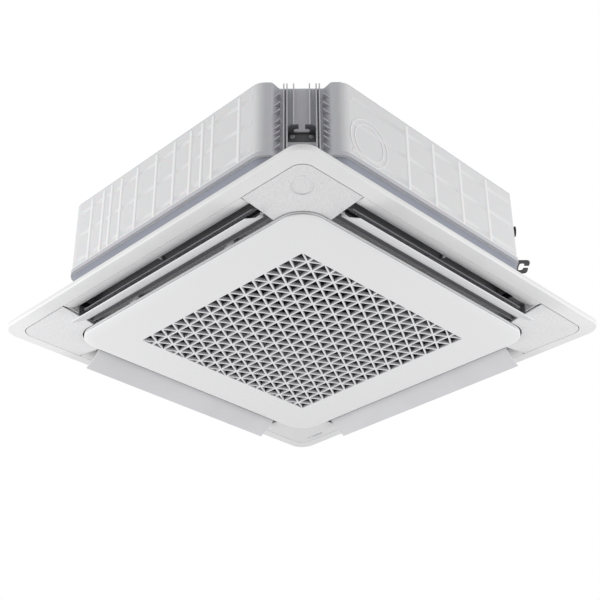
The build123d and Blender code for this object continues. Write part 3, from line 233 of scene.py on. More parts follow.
def galvanised(name, spangle_mm=14):
    """Hot-dip galvanised sheet: grey zinc with broad spangles, each of its own brightness."""
    material, tree, shader, place = surface(name, "#B4B7BA", 0.42, 1.0)
    spangle = add(tree, "ShaderNodeTexVoronoi", {"Vector": place, "Scale": 1000 / spangle_mm})
    tone = add(tree, "ShaderNodeSeparateColor", {"Color": spangle.outputs["Color"]})
    tint(tree, shader, tone.outputs[0], "#ABAFB2", "#BFC2C4", 0.0, 1.0)
    vary_gloss(tree, shader, tone.outputs[1], 0.34, 0.52)
    relief(tree, shader, grain(tree, place, 3), 0.01)
    return material


def machined_steel(name, colour):
    """Turned or drawn zinc-plated steel: fine marks along it and a dull shine."""
    material, tree, shader, place = surface(name, colour, 0.32, 1.0)
    stretched = add(tree, "ShaderNodeMapping", {"Vector": place, "Scale": (1, 1, 30)})
    relief(tree, shader, grain(tree, stretched.outputs["Vector"], 20, 2), 0.012)
    vary_gloss(tree, shader, grain(tree, place, 18, 3), 0.24, 0.44)
    return material


def powder_coat(name, dark, light, roughness):
    """Powder-coated steel: dense colour with a soft orange-peel ripple."""
    material, tree, shader, place = surface(name, light, roughness)
    tint(tree, shader, grain(tree, place, 30, 3), dark, light)
    relief(tree, shader, grain(tree, place, 3.5, 1), 0.04)
    return material


def coil_copper(name):
    """Annealed copper tube: pinkish, dull, and browner where it has been brazed and handled."""
    material, tree, shader, place = surface(name, "#B87552", 0.36, 1.0)
    tint(tree, shader, grain(tree, place, 35, 4, 0.65), "#7E4B34", "#C88562")
    vary_gloss(tree, shader, grain(tree, place, 22, 3), 0.26, 0.5)
    return material


def turned_brass(name):
    """Machined brass: yellow, with a satin sheen and slight tarnish."""
    material, tree, shader, place = surface(name, "#C9A657", 0.3, 1.0)
    tint(tree, shader, grain(tree, place, 15, 3), "#A88640", "#D6B566")
    relief(tree, shader, grain(tree, place, 1.4), 0.008)
    return material


def black_rubber(name):
    """Moulded or foamed rubber: near black, matte, greyed a little by its bloom."""
    material, tree, shader, place = surface(name, "#1B1B1C", 0.75, Specular_IOR_Level=0.3)
    tint(tree, shader, grain(tree, place, 25, 4), "#151516", "#2A2A2B")
    relief(tree, shader, grain(tree, place, 1.2), 0.03)
    return material


def fin_stock(name):
    """Hydrophilic-coated aluminium fin: pale, satin, with a faint blue cast."""
    material, tree, shader, place = surface(name, "#B9C0C6", 0.38, 1.0)
    tint(tree, shader, grain(tree, place, 40, 3), "#AAB3BB", "#C6CCD0")
    relief(tree, shader, grain(tree, place, 4), 0.02)
    return material


def circuit_board(name, track_mm=100 / 9):
    """Solder-masked laminate: green, glossy, with paler tracks under the mask, drawn coarser than life."""
    material, tree, shader, place = surface(name, "#1F5A36", 0.28)
    tracks = add(tree, "ShaderNodeTexBrick", {"Vector": place, "Scale": 1000 / track_mm,
                                              "Mortar Size": 0.06}).outputs["Fac"]
    tint(tree, shader, tracks, "#1B5030", "#3B7D52", 0.0, 1.0)
    relief(tree, shader, tracks, 0.03)
    return material


panel_white = moulded_plastic("panel_abs_white", "#DFDFE0", "#E6E6E6", 0.58)
# Pale lips, and painted shade in grey on the air ways' walls.
duct_white_and_painted_shade = duct_abs_painted_shade("duct_abs_white_painted_shade", "#E6E6E6", "#6C6C70")
cover_white = stippled_abs("cover_abs_white", "#D6D6D8", "#E0E0E1")
# The face's white, then the painted shade in the holes, grey and near black.
grille_white = lattice_abs_painted_shade("grille_abs_white_painted_shade", "#E6E6E7", "#C8C8CC", "#98989C")
vane_white = moulded_plastic("vane_abs_white", "#D0D0D3", "#D8D8DB", 0.42)
inner_vane_grey = moulded_plastic("inner_vane_abs_grey", "#8B8B90", "#99999E", 0.5)
clip_white = moulded_plastic("clip_abs_white", "#D8D8D9", "#E2E2E2", 0.45)
duct_grey = moulded_plastic("duct_polystyrene_grey", "#63656B", "#6E7076", 0.55)
fan_grey = moulded_plastic("fan_glass_filled_grey", "#505258", "#5C5F65", 0.5, 3.0, 0.03)
pump_cream = moulded_plastic("pump_polypropylene", "#C9C6BC", "#D6D3CA", 0.5)
net_black = moulded_plastic("net_polypropylene_black", "#1D1D1F", "#2A2A2C", 0.6)
window_smoke = moulded_plastic("window_tinted_polycarbonate", "#B6B8BC", "#C2C4C8", 0.22)
button_grey = moulded_plastic("button_abs_grey", "#C8C8CB", "#D2D2D4", 0.35)
# Painted shade, the sheet's own white, and the painted highlight on the beads.
shell_white = cabinet_skin_painted_light("cabinet_formed_white_painted_light", "#C4C4C9", "#DCDCDD", "#EFEFEF")
pan_foam = bead_foam("pan_polystyrene_grey", "#828284", "#909092")
band_grey = moulded_plastic("pan_skirt_abs_grey", "#9296A2", "#989CA8", 0.5)
liner_foam = bead_foam("liner_polystyrene_white", "#DDDDDB", "#ECECEA")
seal_foam = black_rubber("seal_foam_black")
zinc_sheet = galvanised("zinc_sheet")
bright_steel = machined_steel("steel_zinc_plated", "#B9BBBD")
bracket_coat = powder_coat("bracket_powder_dark", "#3F3F43", "#4E4E53", 0.5)
motor_coat = powder_coat("motor_enamel_grey", "#3C3E42", "#4A4C50", 0.4)
copper = coil_copper("copper_tube")
brass = turned_brass("brass_turned")
rubber = black_rubber("rubber_moulded")
fins = fin_stock("aluminium_fin_stock")
board_green = circuit_board("board_laminate_green")


# ---- Geometry trees

def new_tree(name, **inputs):
    """A geometry tree with named inputs; returns it with their sockets."""
    tree = bpy.data.node_groups.new(name, "GeometryNodeTree")
    tree.interface.new_socket("Geometry", in_out="INPUT", socket_type="NodeSocketGeometry")
    for key, kind in inputs.items():
        tree.interface.new_socket(key.replace("_", " "), in_out="INPUT", socket_type="NodeSocket" + kind)
    tree.interface.new_socket("Geometry", in_out="OUTPUT", socket_type="NodeSocketGeometry")
    return tree, add(tree, "NodeGroupInput").outputs


def end_tree(tree, get, shape):
    """Ends a tree with its shape in the material of its input."""
    painted = add(tree, "GeometryNodeSetMaterial", {"Geometry": shape, "Material": get["Material"]})
    add(tree, "NodeGroupOutput", {"Geometry": painted})
    return tree


def set_input(modifier, name, value):
    """Sets a geometry tree's input by its socket's identifier."""
    for item in modifier.node_group.interface.items_tree:
        if item.item_type == "SOCKET" and item.in_out == "INPUT" and item.name == name:
            modifier[item.identifier] = value


def from_tree(name, tree, inputs, base=None):
    """Evaluates a geometry tree on a scratch object and returns the plain mesh that it makes."""
    scratch = bpy.data.objects.new("making_" + name, base or bpy.data.meshes.new("empty"))
    bpy.context.scene.collection.objects.link(scratch)
    modifier = scratch.modifiers.new("making", "NODES")
    modifier.node_group = tree
    for key, value in inputs.items():
        set_input(modifier, key, value)
    bpy.context.view_layer.update()
    made = bpy.data.meshes.new_from_object(scratch.evaluated_get(bpy.context.evaluated_depsgraph_get()))
    bpy.data.objects.remove(scratch)
    made.name = name
    return made


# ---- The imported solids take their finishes

def shade_by_angle():
    """Joins a solid's loose triangles and shades it smooth, but not over steep edges."""
    tree, get = new_tree("shade_by_angle", Angle="Float")
    plain = add(tree, "GeometryNodeRemoveAttribute", {"Geometry": get["Geometry"], "Name": "custom_normal"})
    joined = add(tree, "GeometryNodeMergeByDistance", {"Geometry": plain, "Distance": weld})
    angle = add(tree, "GeometryNodeInputMeshEdgeAngle").outputs["Unsigned Angle"]
    gentle = add(tree, "FunctionNodeCompare", {"A": angle, "B": get["Angle"]}, operation="LESS_THAN")
    # Solids of one node that touch share edges there, with more than two faces, and those stay sharp.
    around = add(tree, "GeometryNodeInputMeshEdgeNeighbors").outputs["Face Count"]
    unshared = add(tree, "FunctionNodeCompare", {"A": around, "B": 2.5}, operation="LESS_THAN")
    soft = add(tree, "FunctionNodeBooleanMath", {0: gentle, 1: unshared}, operation="AND")
    faces = add(tree, "GeometryNodeSetShadeSmooth", {"Geometry": joined, "Shade Smooth": True},
                domain="FACE")
    edges = add(tree, "GeometryNodeSetShadeSmooth", {"Geometry": faces, "Shade Smooth": soft},
                domain="EDGE")
    add(tree, "NodeGroupOutput", {"Geometry": edges})
    return tree


smoothing = shade_by_angle()
steep = 32                # degrees between two faces, from where an edge of a solid stays sharp


def finish_solid(material, *names):
    """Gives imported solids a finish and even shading."""
    for name in names:
        solid = solids[name]
        solid.data.materials.clear()
        solid.data.materials.append(material)
        modifier = solid.modifiers.new("shading", "NODES")
        modifier.node_group = smoothing
        set_input(modifier, "Angle", math.radians(steep))


finish_solid(panel_white, "panel_frame", "panel_border")
finish_solid(duct_white_and_painted_shade, "outlet_ducts")
finish_solid(cover_white, *["corner_cover_" + corner for corner in corners])
finish_solid(vane_white, *["main_vane_" + side for side in sides])
finish_solid(clip_white, "filter_frame", "grille_latch_left", "grille_latch_right")
finish_solid(shell_white, "cabinet_shell")
finish_solid(pan_foam, "drain_pan")
finish_solid(band_grey, "pan_skirt")
finish_solid(liner_foam, "cabinet_liner", "float_ring")
finish_solid(seal_foam, "outlet_seals")
finish_solid(zinc_sheet, "top_plate", "pipe_plate", "control_box", "control_cover", "coil_end_plates")
finish_solid(duct_grey, "bell_mouth")
finish_solid(fan_grey, "turbo_fan")
finish_solid(pump_cream, "drain_pump", "pump_impeller", "float_stem", "drain_outlet", "terminal_block",
             "air_sensor")
finish_solid(motor_coat, "fan_motor", "vane_motors")
finish_solid(bright_steel, "motor_shaft", "fan_nut", "bracket_screws", "panel_screws", "hinge_pins",
             "latch_keepers")
finish_solid(rubber, "motor_mounts", "cable_gland", "drain_hose")
finish_solid(copper, "coil_bends", "gas_pipe", "liquid_pipe")
finish_solid(brass, "flare_unions")
finish_solid(board_green, "control_board", "receiver_board")
finish_solid(bracket_coat, "hanger_brackets")
finish_solid(window_smoke, "receiver_window")
finish_solid(button_grey, "test_button")


# ---- New pieces

piece_steep = 35          # degrees between two faces, from where an edge of a new piece stays sharp


def new_piece(name, mesh, material, body, slot, *nodes):
    """Links a finished mesh as a piece on a body, and lets it stand for its solids."""
    piece = bpy.data.objects.new(name, mesh)
    bpy.context.scene.collection.objects.link(piece)
    mesh.materials.clear()
    mesh.materials.append(material)
    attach(piece, body)
    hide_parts(*nodes)


def shade(bm):
    """Smooth faces, with the steep edges kept sharp."""
    for face in bm.faces:
        face.smooth = True
    for edge in bm.edges:
        edge.smooth = len(edge.link_faces) == 2 and edge.calc_face_angle(0) < math.radians(piece_steep)


def mesh_of(name, bm):
    """A plain mesh with what has been built so far."""
    mesh = bpy.data.meshes.new(name)
    bm.to_mesh(mesh)
    return mesh


def rounded_ring(half, corner, z, steps=12):
    """Points of a rounded square in metres, anticlockwise seen from above."""
    points = []
    for turn in range(4):
        middle = math.radians(45 + 90 * turn)
        cx = (half - corner) * math.copysign(1, math.cos(middle))
        cy = (half - corner) * math.copysign(1, math.sin(middle))
        for step in range(steps + 1):
            angle = math.radians(90 * turn + 90 * step / steps)
            points.append((cx + corner * math.cos(angle), cy + corner * math.sin(angle), z))
    return points


def circle(middle, radius, count):
    """Points round a middle in a plane, in the middle's own units."""
    turns = [2 * math.pi * k / count for k in range(count)]
    return [(middle[0] + radius * math.cos(turn), middle[1] + radius * math.sin(turn)) for turn in turns]


def lofted(bm, rings, closed=False):
    """Skins a row of point rings with quads."""
    rows = [[bm.verts.new(point) for point in ring] for ring in rings]
    pairs = list(zip(rows, rows[1:])) + ([(rows[-1], rows[0])] if closed else [])
    count = len(rows[0])
    for low, high in pairs:
        for i in range(count):
            j = (i + 1) % count
            bm.faces.new((low[i], low[j], high[j], high[i]))


def extruded(bm, outline, x_low, x_high):
    """A closed prism along X from (y, z) points in millimetres."""
    low = [bm.verts.new((x_low / 1000, y / 1000, z / 1000)) for y, z in outline]
    high = [bm.verts.new((x_high / 1000, y / 1000, z / 1000)) for y, z in outline]
    bm.faces.new(low)
    bm.faces.new(high[::-1])
    for i in range(len(outline)):
        j = (i + 1) % len(outline)
        bm.faces.new((low[i], high[i], high[j], low[j]))


# ---- Intake grille: a lattice of triangular holes in a pillowed surround

columns_of_cells = 14
rows_of_cells = 16
grille_half = 0.357       # half of the grille's side
grille_corner = 0.055     # radius of its corners
pillow_reach = 0.026      # from its side to where its face begins to curve back
pillow_corner = 0.034     # radius of the corners there
pillow_drop = 0.0045      # how far back the face has curved at the side
corner_growth = 0.8       # how much the corners' radius grows with the way outwards
least_corner = 0.0005
sheet_back_z = -0.0315    # the back of the sheet round the field
# Behind the face, each step of the edge: how far out it is from the grille's side, and its height.
edge_steps = ((0, -0.0300), (-0.0006, -0.0295), (-0.004, -0.0295), (-0.004, -0.0268), (-0.0006, -0.0268),
              (0, -0.0262), (0, -0.0226), (-0.0006, -0.022), (-0.012, -0.022), (-0.012, -0.029),
              (-0.028, -0.029), (-0.028, sheet_back_z), (-0.100, sheet_back_z))


def lattice_tree():
    """Rows of triangular cells, every other one upside down, each with a hole through it. Cells that
    pass the square's sides are pressed flat against them, which leaves the half cells there."""
    tree, get = new_tree("triangular_lattice", Field="Float", Columns="Int", Rows="Int", Bar="Float",
                         Depth="Float", Face_height="Float", Material="Material")
    pitch = add(tree, "ShaderNodeMath", {0: get["Field"], 1: get["Columns"]}, operation="DIVIDE")
    row = add(tree, "ShaderNodeMath", {0: get["Field"], 1: get["Rows"]}, operation="DIVIDE")
    cell = add(tree, "ShaderNodeMath", {0: pitch, 1: math.sqrt(3)}, operation="DIVIDE")
    hole = add(tree, "ShaderNodeMath", {0: cell, 1: get["Bar"]}, operation="SUBTRACT")

    # One cell: a web in front and one behind, with walls through the hole between them.
    web = add(tree, "GeometryNodeMeshCone", {"Vertices": 3, "Radius Top": hole, "Radius Bottom": cell,
                                             "Depth": 0.0}, fill_type="NONE")
    walls = add(tree, "GeometryNodeMeshCone", {"Vertices": 3, "Radius Top": hole, "Radius Bottom": hole,
                                               "Depth": get["Depth"]}, fill_type="NONE")
    lift = add(tree, "ShaderNodeCombineXYZ", {"Z": get["Depth"]})
    back = add(tree, "GeometryNodeTransform", {"Geometry": web, "Translation": lift})
    front = add(tree, "GeometryNodeJoinGeometry", {"Geometry": [web, walls]})
    turned = add(tree, "GeometryNodeFlipFaces", {"Mesh": front})
    tile = add(tree, "GeometryNodeJoinGeometry", {"Geometry": [turned, back]})
    place = add(tree, "GeometryNodeInputPosition")
    flat = add(tree, "ShaderNodeVectorMath", {0: place, 1: (1, 1, 0)}, operation="MULTIPLY")
    reach = add(tree, "ShaderNodeVectorMath", {0: flat}, operation="LENGTH").outputs["Value"]
    both = add(tree, "ShaderNodeMath", {0: cell, 1: hole}, operation="ADD")
    middle = add(tree, "ShaderNodeMath", {0: both, 1: 0.5}, operation="MULTIPLY")
    outside = add(tree, "ShaderNodeMath", {0: reach, 1: middle}, operation="GREATER_THAN")
    marked = add(tree, "GeometryNodeStoreNamedAttribute", {"Geometry": tile, "Name": "cell_edge",
                                                           "Value": outside}, data_type="FLOAT")
    upright = add(tree, "GeometryNodeTransform", {"Geometry": marked, "Rotation": (0, 0, math.pi / 2)})

    # A point for each cell, half a pitch apart, and which of them point down.
    twice = add(tree, "ShaderNodeMath", {0: get["Columns"], 1: 2}, operation="MULTIPLY")
    across = add(tree, "ShaderNodeMath", {0: twice, 1: 1}, operation="ADD")
    span = add(tree, "ShaderNodeMath", {0: get["Field"], 1: row}, operation="SUBTRACT")
    grid = add(tree, "GeometryNodeMeshGrid", {"Size X": get["Field"], "Size Y": span, "Vertices X": across,
                                              "Vertices Y": get["Rows"]})
    where = add(tree, "ShaderNodeSeparateXYZ", {0: place})
    half_pitch = add(tree, "ShaderNodeMath", {0: pitch, 1: 0.5}, operation="MULTIPLY")
    along_x = add(tree, "ShaderNodeMath", {0: where.outputs["X"], 1: half_pitch}, operation="DIVIDE")
    column = add(tree, "ShaderNodeMath", {0: along_x}, operation="ROUND")
    along_y = add(tree, "ShaderNodeMath", {0: where.outputs["Y"], 1: row}, operation="DIVIDE")
    from_low = add(tree, "ShaderNodeMath", {0: along_y, 1: 0.5}, operation="SUBTRACT")
    level = add(tree, "ShaderNodeMath", {0: from_low}, operation="ROUND")
    count = add(tree, "ShaderNodeMath", {0: column, 1: level}, operation="ADD")
    odd = add(tree, "ShaderNodeMath", {0: count, 1: 2}, operation="FLOORED_MODULO")
    down = add(tree, "ShaderNodeMath", {0: 1, 1: odd}, operation="SUBTRACT")

    # The spin is kept before the points move, because it is worked out from where they are.
    half_turn = add(tree, "ShaderNodeMath", {0: down, 1: math.pi}, operation="MULTIPLY")
    spin = add(tree, "ShaderNodeCombineXYZ", {"Z": half_turn})
    kept = add(tree, "GeometryNodeStoreNamedAttribute", {"Geometry": grid, "Name": "spin", "Value": spin},
               data_type="FLOAT_VECTOR")
    signed = add(tree, "ShaderNodeMath", {0: down, 1: 2}, operation="MULTIPLY")
    side = add(tree, "ShaderNodeMath", {0: signed, 1: 1}, operation="SUBTRACT")
    towards = add(tree, "ShaderNodeMath", {0: side, 1: row}, operation="MULTIPLY")
    shift = add(tree, "ShaderNodeMath", {0: towards, 1: 1 / 6}, operation="MULTIPLY")
    offset = add(tree, "ShaderNodeCombineXYZ", {"Y": shift, "Z": get["Face height"]})
    moved = add(tree, "GeometryNodeSetPosition", {"Geometry": kept, "Offset": offset})
    held = add(tree, "GeometryNodeInputNamedAttribute", {"Name": "spin"}, data_type="FLOAT_VECTOR")
    regular = add(tree, "ShaderNodeMath", {0: pitch, 1: math.sqrt(3) / 2}, operation="MULTIPLY")
    squash = add(tree, "ShaderNodeMath", {0: row, 1: regular}, operation="DIVIDE")
    size = add(tree, "ShaderNodeCombineXYZ", {"X": 1.0, "Y": squash, "Z": 1.0})
    cells = add(tree, "GeometryNodeInstanceOnPoints", {"Points": moved, "Instance": upright, "Scale": size,
                                                       "Rotation": held.outputs["Attribute"]})
    real = add(tree, "GeometryNodeRealizeInstances", {"Geometry": cells})

    # The cells' outer corners are held at the square's side, and their holes half a bar inside it.
    edge = add(tree, "GeometryNodeInputNamedAttribute", {"Name": "cell_edge"}, data_type="FLOAT")
    inner = add(tree, "ShaderNodeMath", {0: 1, 1: edge.outputs["Attribute"]}, operation="SUBTRACT")
    half_bar = add(tree, "ShaderNodeMath", {0: get["Bar"], 1: 0.5}, operation="MULTIPLY")
    inset = add(tree, "ShaderNodeMath", {0: inner, 1: half_bar}, operation="MULTIPLY")
    half_field = add(tree, "ShaderNodeMath", {0: get["Field"], 1: 0.5}, operation="MULTIPLY")
    right_limit = add(tree, "ShaderNodeMath", {0: half_field, 1: inset}, operation="SUBTRACT")
    left_limit = add(tree, "ShaderNodeMath", {0: right_limit, 1: -1}, operation="MULTIPLY")
    from_right = add(tree, "ShaderNodeMath", {0: where.outputs["X"], 1: right_limit}, operation="MINIMUM")
    held_x = add(tree, "ShaderNodeMath", {0: from_right, 1: left_limit}, operation="MAXIMUM")
    inside = add(tree, "ShaderNodeCombineXYZ", {"X": held_x, "Y": where.outputs["Y"],
                                                "Z": where.outputs["Z"]})
    pressed = add(tree, "GeometryNodeSetPosition", {"Geometry": real, "Position": inside})
    joined = add(tree, "GeometryNodeMergeByDistance", {"Geometry": pressed, "Distance": wide_weld})
    return end_tree(tree, get, joined)


def surround_rings():
    """The grille's edge: a pillowed face, a groove round the side and a lip behind."""
    flat_half = grille_half - pillow_reach
    rings = [rounded_ring(field / 2, 0, face_z), rounded_ring(flat_half, pillow_corner, face_z)]
    for step in range(1, 10):
        angle = math.radians(10 * step)
        grow = pillow_reach * math.sin(angle)
        drop = pillow_drop * (1 - math.cos(angle))
        rings.append(rounded_ring(flat_half + grow, pillow_corner + grow * corner_growth, face_z + drop))
    for out, z in edge_steps:
        rings.append(rounded_ring(grille_half + out, max(grille_corner + out, least_corner), z))
    rings.append(rounded_ring(field / 2 + field_bar, 0, sheet_back_z))
    rings.append(rounded_ring(field / 2 + field_bar, 0, face_z + field_depth))
    rings.append(rounded_ring(field / 2, 0, face_z + field_depth))
    return rings


# The hinges' sizes, in millimetres
hinge_places = (-200, 200)
hinge_y, hinge_z = 345, -28
knuckle_radius = 4
knuckle_bore = 2
knuckle_half = 4          # half of a knuckle's length
knuckle_sides = 20        # points round it
knuckle_break = 0.4       # bevel round its ends
neck_z = -32.2            # where its neck meets the grille's sheet
room_half = 8.9           # half of a hinge room's length
room_floor = 3.7          # from the hinge's axis down to the room's floor
grille_side_y, grille_back_z = 360, -20


def hinge_rooms():
    """The notches in the grille's back edge that the panel's hinge ears stand in."""
    bm = bmesh.new()
    near, far, low = hinge_y - knuckle_radius, hinge_y + knuckle_radius, hinge_z - room_floor
    outline = [(near, low), (far, low), (far + 0.5, low + 1), (grille_side_y, hinge_z - 0.5),
               (grille_side_y, grille_back_z), (near, grille_back_z)]
    for place in hinge_places:
        extruded(bm, outline, place - room_half, place + room_half)
    bmesh.ops.recalc_face_normals(bm, faces=bm.faces)
    return mesh_of("hinge_rooms", bm)


def knuckles(bm):
    """The grille's half of each hinge: a bored barrel on a short neck."""
    inner = knuckle_half - knuckle_break
    rim = knuckle_radius - knuckle_break
    steps = ((-knuckle_half, knuckle_bore), (-knuckle_half, rim), (-inner, knuckle_radius),
             (inner, knuckle_radius), (knuckle_half, rim), (knuckle_half, knuckle_bore))
    near, far = hinge_y - knuckle_radius, hinge_y + knuckle_radius
    neck = [(near, hinge_z), (near, neck_z), (far, neck_z), (far, hinge_z), (far - 1, hinge_z - 2.6),
            (near + 1, hinge_z - 2.6)]
    for place in hinge_places:
        lofted(bm, [[((place + x) / 1000, y / 1000, z / 1000)
                     for y, z in circle((hinge_y, hinge_z), radius, knuckle_sides)]
                    for x, radius in steps], closed=True)
        extruded(bm, neck, place - knuckle_half, place + knuckle_half)


def cut_mesh(name, mesh, cutter):
    """One closed mesh less another."""
    body = bpy.data.objects.new("cutting_" + name, mesh)
    tool = bpy.data.objects.new("cutter_" + name, cutter)
    for scratch in (body, tool):
        bpy.context.scene.collection.objects.link(scratch)
    modifier = body.modifiers.new("cut", "BOOLEAN")
    modifier.object = tool
    modifier.solver = "EXACT"
    bpy.context.view_layer.update()
    made = bpy.data.meshes.new_from_object(body.evaluated_get(bpy.context.evaluated_depsgraph_get()))
    for scratch in (body, tool):
        bpy.data.objects.remove(scratch)
    return made


def surround_mesh():
    """The surround with its hinge notches, the knuckles and the lattice, as one mesh."""
    bm = bmesh.new()
    lofted(bm, surround_rings(), closed=True)
    bmesh.ops.remove_doubles(bm, verts=bm.verts, dist=wide_weld)
    bmesh.ops.recalc_face_normals(bm, faces=bm.faces)
    solid = mesh_of("surround", bm)
    bm.clear()
    bm.from_mesh(cut_mesh("surround", solid, hinge_rooms()))
    knuckle_start = len(bm.faces)
    knuckles(bm)
    bm.faces.ensure_lookup_table()
    bmesh.ops.recalc_face_normals(bm, faces=bm.faces[knuckle_start:])
    bm.from_mesh(from_tree("lattice", lattice_tree(), {
        "Field": field, "Columns": columns_of_cells, "Rows": rows_of_cells, "Bar": field_bar,
        "Depth": field_depth, "Face height": face_z, "Material": grille_white}))
    shade(bm)
    return mesh_of("intake_face", bm)


new_piece("intake_face", surround_mesh(), grille_white, "grille", "panel_white", "intake_grille")


# ---- Filter net: warp and weft that pass over and under each other, in metres

net_half = 0.2577
net_wires = 100
net_gauge = 0.0009
net_height = -0.0261


def net_tree():
    """Straight rows of wavy wires, the same again crossways, woven one over the other."""
    tree, get = new_tree("woven_net", Half="Float", Wires="Int", Gauge="Float", Height="Float",
                         Material="Material")
    count = add(tree, "ShaderNodeMath", {0: get["Wires"], 1: 1.0}, operation="ADD")
    span = add(tree, "ShaderNodeMath", {0: get["Half"], 1: 2.0}, operation="MULTIPLY")
    pitch = add(tree, "ShaderNodeMath", {0: span, 1: get["Wires"]}, operation="DIVIDE")
    start = add(tree, "ShaderNodeMath", {0: get["Half"], 1: -1.0}, operation="MULTIPLY")

    # One wire, whose points lie over and under by turns.
    index = add(tree, "GeometryNodeInputIndex")
    parity = add(tree, "ShaderNodeMath", {0: index, 1: 2.0}, operation="MODULO")
    wave = add(tree, "ShaderNodeMath", {0: parity, 1: 0.5}, operation="SUBTRACT")
    lift = add(tree, "ShaderNodeMath", {0: wave, 1: get["Gauge"]}, operation="MULTIPLY")
    along = add(tree, "ShaderNodeCombineXYZ", {"X": pitch})
    from_x = add(tree, "ShaderNodeCombineXYZ", {"X": start})
    line = add(tree, "GeometryNodeMeshLine", {"Count": count, "Start Location": from_x, "Offset": along})
    over = add(tree, "ShaderNodeCombineXYZ", {"Z": lift})
    wavy = add(tree, "GeometryNodeSetPosition", {"Geometry": line, "Offset": over})
    path = add(tree, "GeometryNodeMeshToCurve", {"Mesh": wavy})
    thin = add(tree, "ShaderNodeMath", {0: get["Gauge"], 1: 0.5}, operation="MULTIPLY")
    section = add(tree, "GeometryNodeCurvePrimitiveCircle", {"Resolution": 3, "Radius": thin})
    wire = add(tree, "GeometryNodeCurveToMesh", {"Curve": path, "Profile Curve": section})

    # A row of them, every other one rolled over, and the same row turned crossways.
    across = add(tree, "ShaderNodeCombineXYZ", {"Y": pitch})
    from_y = add(tree, "ShaderNodeCombineXYZ", {"Y": start})
    row = add(tree, "GeometryNodeMeshLine", {"Count": count, "Start Location": from_y, "Offset": across})
    flip = add(tree, "ShaderNodeMath", {0: parity, 1: math.pi}, operation="MULTIPLY")
    roll = add(tree, "ShaderNodeCombineXYZ", {"X": flip})
    warp = add(tree, "GeometryNodeInstanceOnPoints", {"Points": row, "Instance": wire, "Rotation": roll})
    weft = add(tree, "GeometryNodeTransform", {"Geometry": warp, "Rotation": (math.pi, 0, math.pi / 2)})
    both = add(tree, "GeometryNodeJoinGeometry", {"Geometry": [warp, weft]})
    level = add(tree, "ShaderNodeCombineXYZ", {"Z": get["Height"]})
    raised = add(tree, "GeometryNodeTransform", {"Geometry": both, "Translation": level})
    return end_tree(tree, get, add(tree, "GeometryNodeRealizeInstances", {"Geometry": raised}))


net = from_tree("net", net_tree(), {"Half": net_half, "Wires": net_wires, "Gauge": net_gauge,
                                    "Height": net_height, "Material": net_black})
new_piece("filter_net", net, net_black, "filter", "filter_net", "filter_mesh")


# ---- Inner vanes: a thin blade on a round hub, with a row of stiffening ribs under it, in millimetres

inner_axis = (-388, -3.5)  # distance and height of the axis
inner_slope = math.radians(31)
inner_half = 264          # half of the blade's length
hub_half = 28             # half of the hub's length
pin_from, pin_to = 252, 282
pin_break = 0.4           # bevel at a pin's end
hub_radius, pin_radius = 3.4, 1.5
hub_break = 0.8           # bevel at the hub's ends
bar_sides = 16            # points round hub and pins
point = 0.00001           # a ring of no size, which closes a bar's end
rib_half = 256            # from the middle to the last rib
rib_gap = 7.5
rib_thick = 1.2
# Sections as (along the blade from its axis, below the axis)
blade_section = ((-6, -0.4), (-5.5, -0.9), (13.2, -0.9), (14, -0.3), (14, 0.3), (13.2, 0.9), (-5.5, 0.9),
                 (-6, 0.4))
rib_section = ((-4.5, 0.5), (11.5, 0.5), (10.5, 1.6), (4, hub_radius), (-2, hub_radius))


def inner_outline(section):
    """A section's points as (y, z) on the sloping blade."""
    run, rise = math.cos(inner_slope), math.sin(inner_slope)
    return [(inner_axis[0] - along * run + below * rise, inner_axis[1] - along * rise - below * run)
            for along, below in section]


def rib_row_tree():
    """The tree's own mesh, repeated in a row along X."""
    tree, get = new_tree("rib_row", Half="Float", Count="Int", Material="Material")
    gaps = add(tree, "ShaderNodeMath", {0: get["Count"], 1: 1.0}, operation="SUBTRACT")
    span = add(tree, "ShaderNodeMath", {0: get["Half"], 1: 2.0}, operation="MULTIPLY")
    pitch = add(tree, "ShaderNodeMath", {0: span, 1: gaps}, operation="DIVIDE")
    start = add(tree, "ShaderNodeMath", {0: get["Half"], 1: -1.0}, operation="MULTIPLY")
    first = add(tree, "ShaderNodeCombineXYZ", {"X": start})
    step = add(tree, "ShaderNodeCombineXYZ", {"X": pitch})
    line = add(tree, "GeometryNodeMeshLine", {"Count": get["Count"], "Start Location": first,
                                              "Offset": step})
    ribs = add(tree, "GeometryNodeInstanceOnPoints", {"Points": line, "Instance": get["Geometry"]})
    return end_tree(tree, get, add(tree, "GeometryNodeRealizeInstances", {"Geometry": ribs}))


def barrel(bm, steps):
    """A turned bar along X on the inner vane's axis, from (x, radius) steps."""
    lofted(bm, [[(x / 1000, y / 1000, z / 1000) for y, z in circle(inner_axis, radius, bar_sides)]
                for x, radius in steps])
    bmesh.ops.remove_doubles(bm, verts=bm.verts, dist=weld)


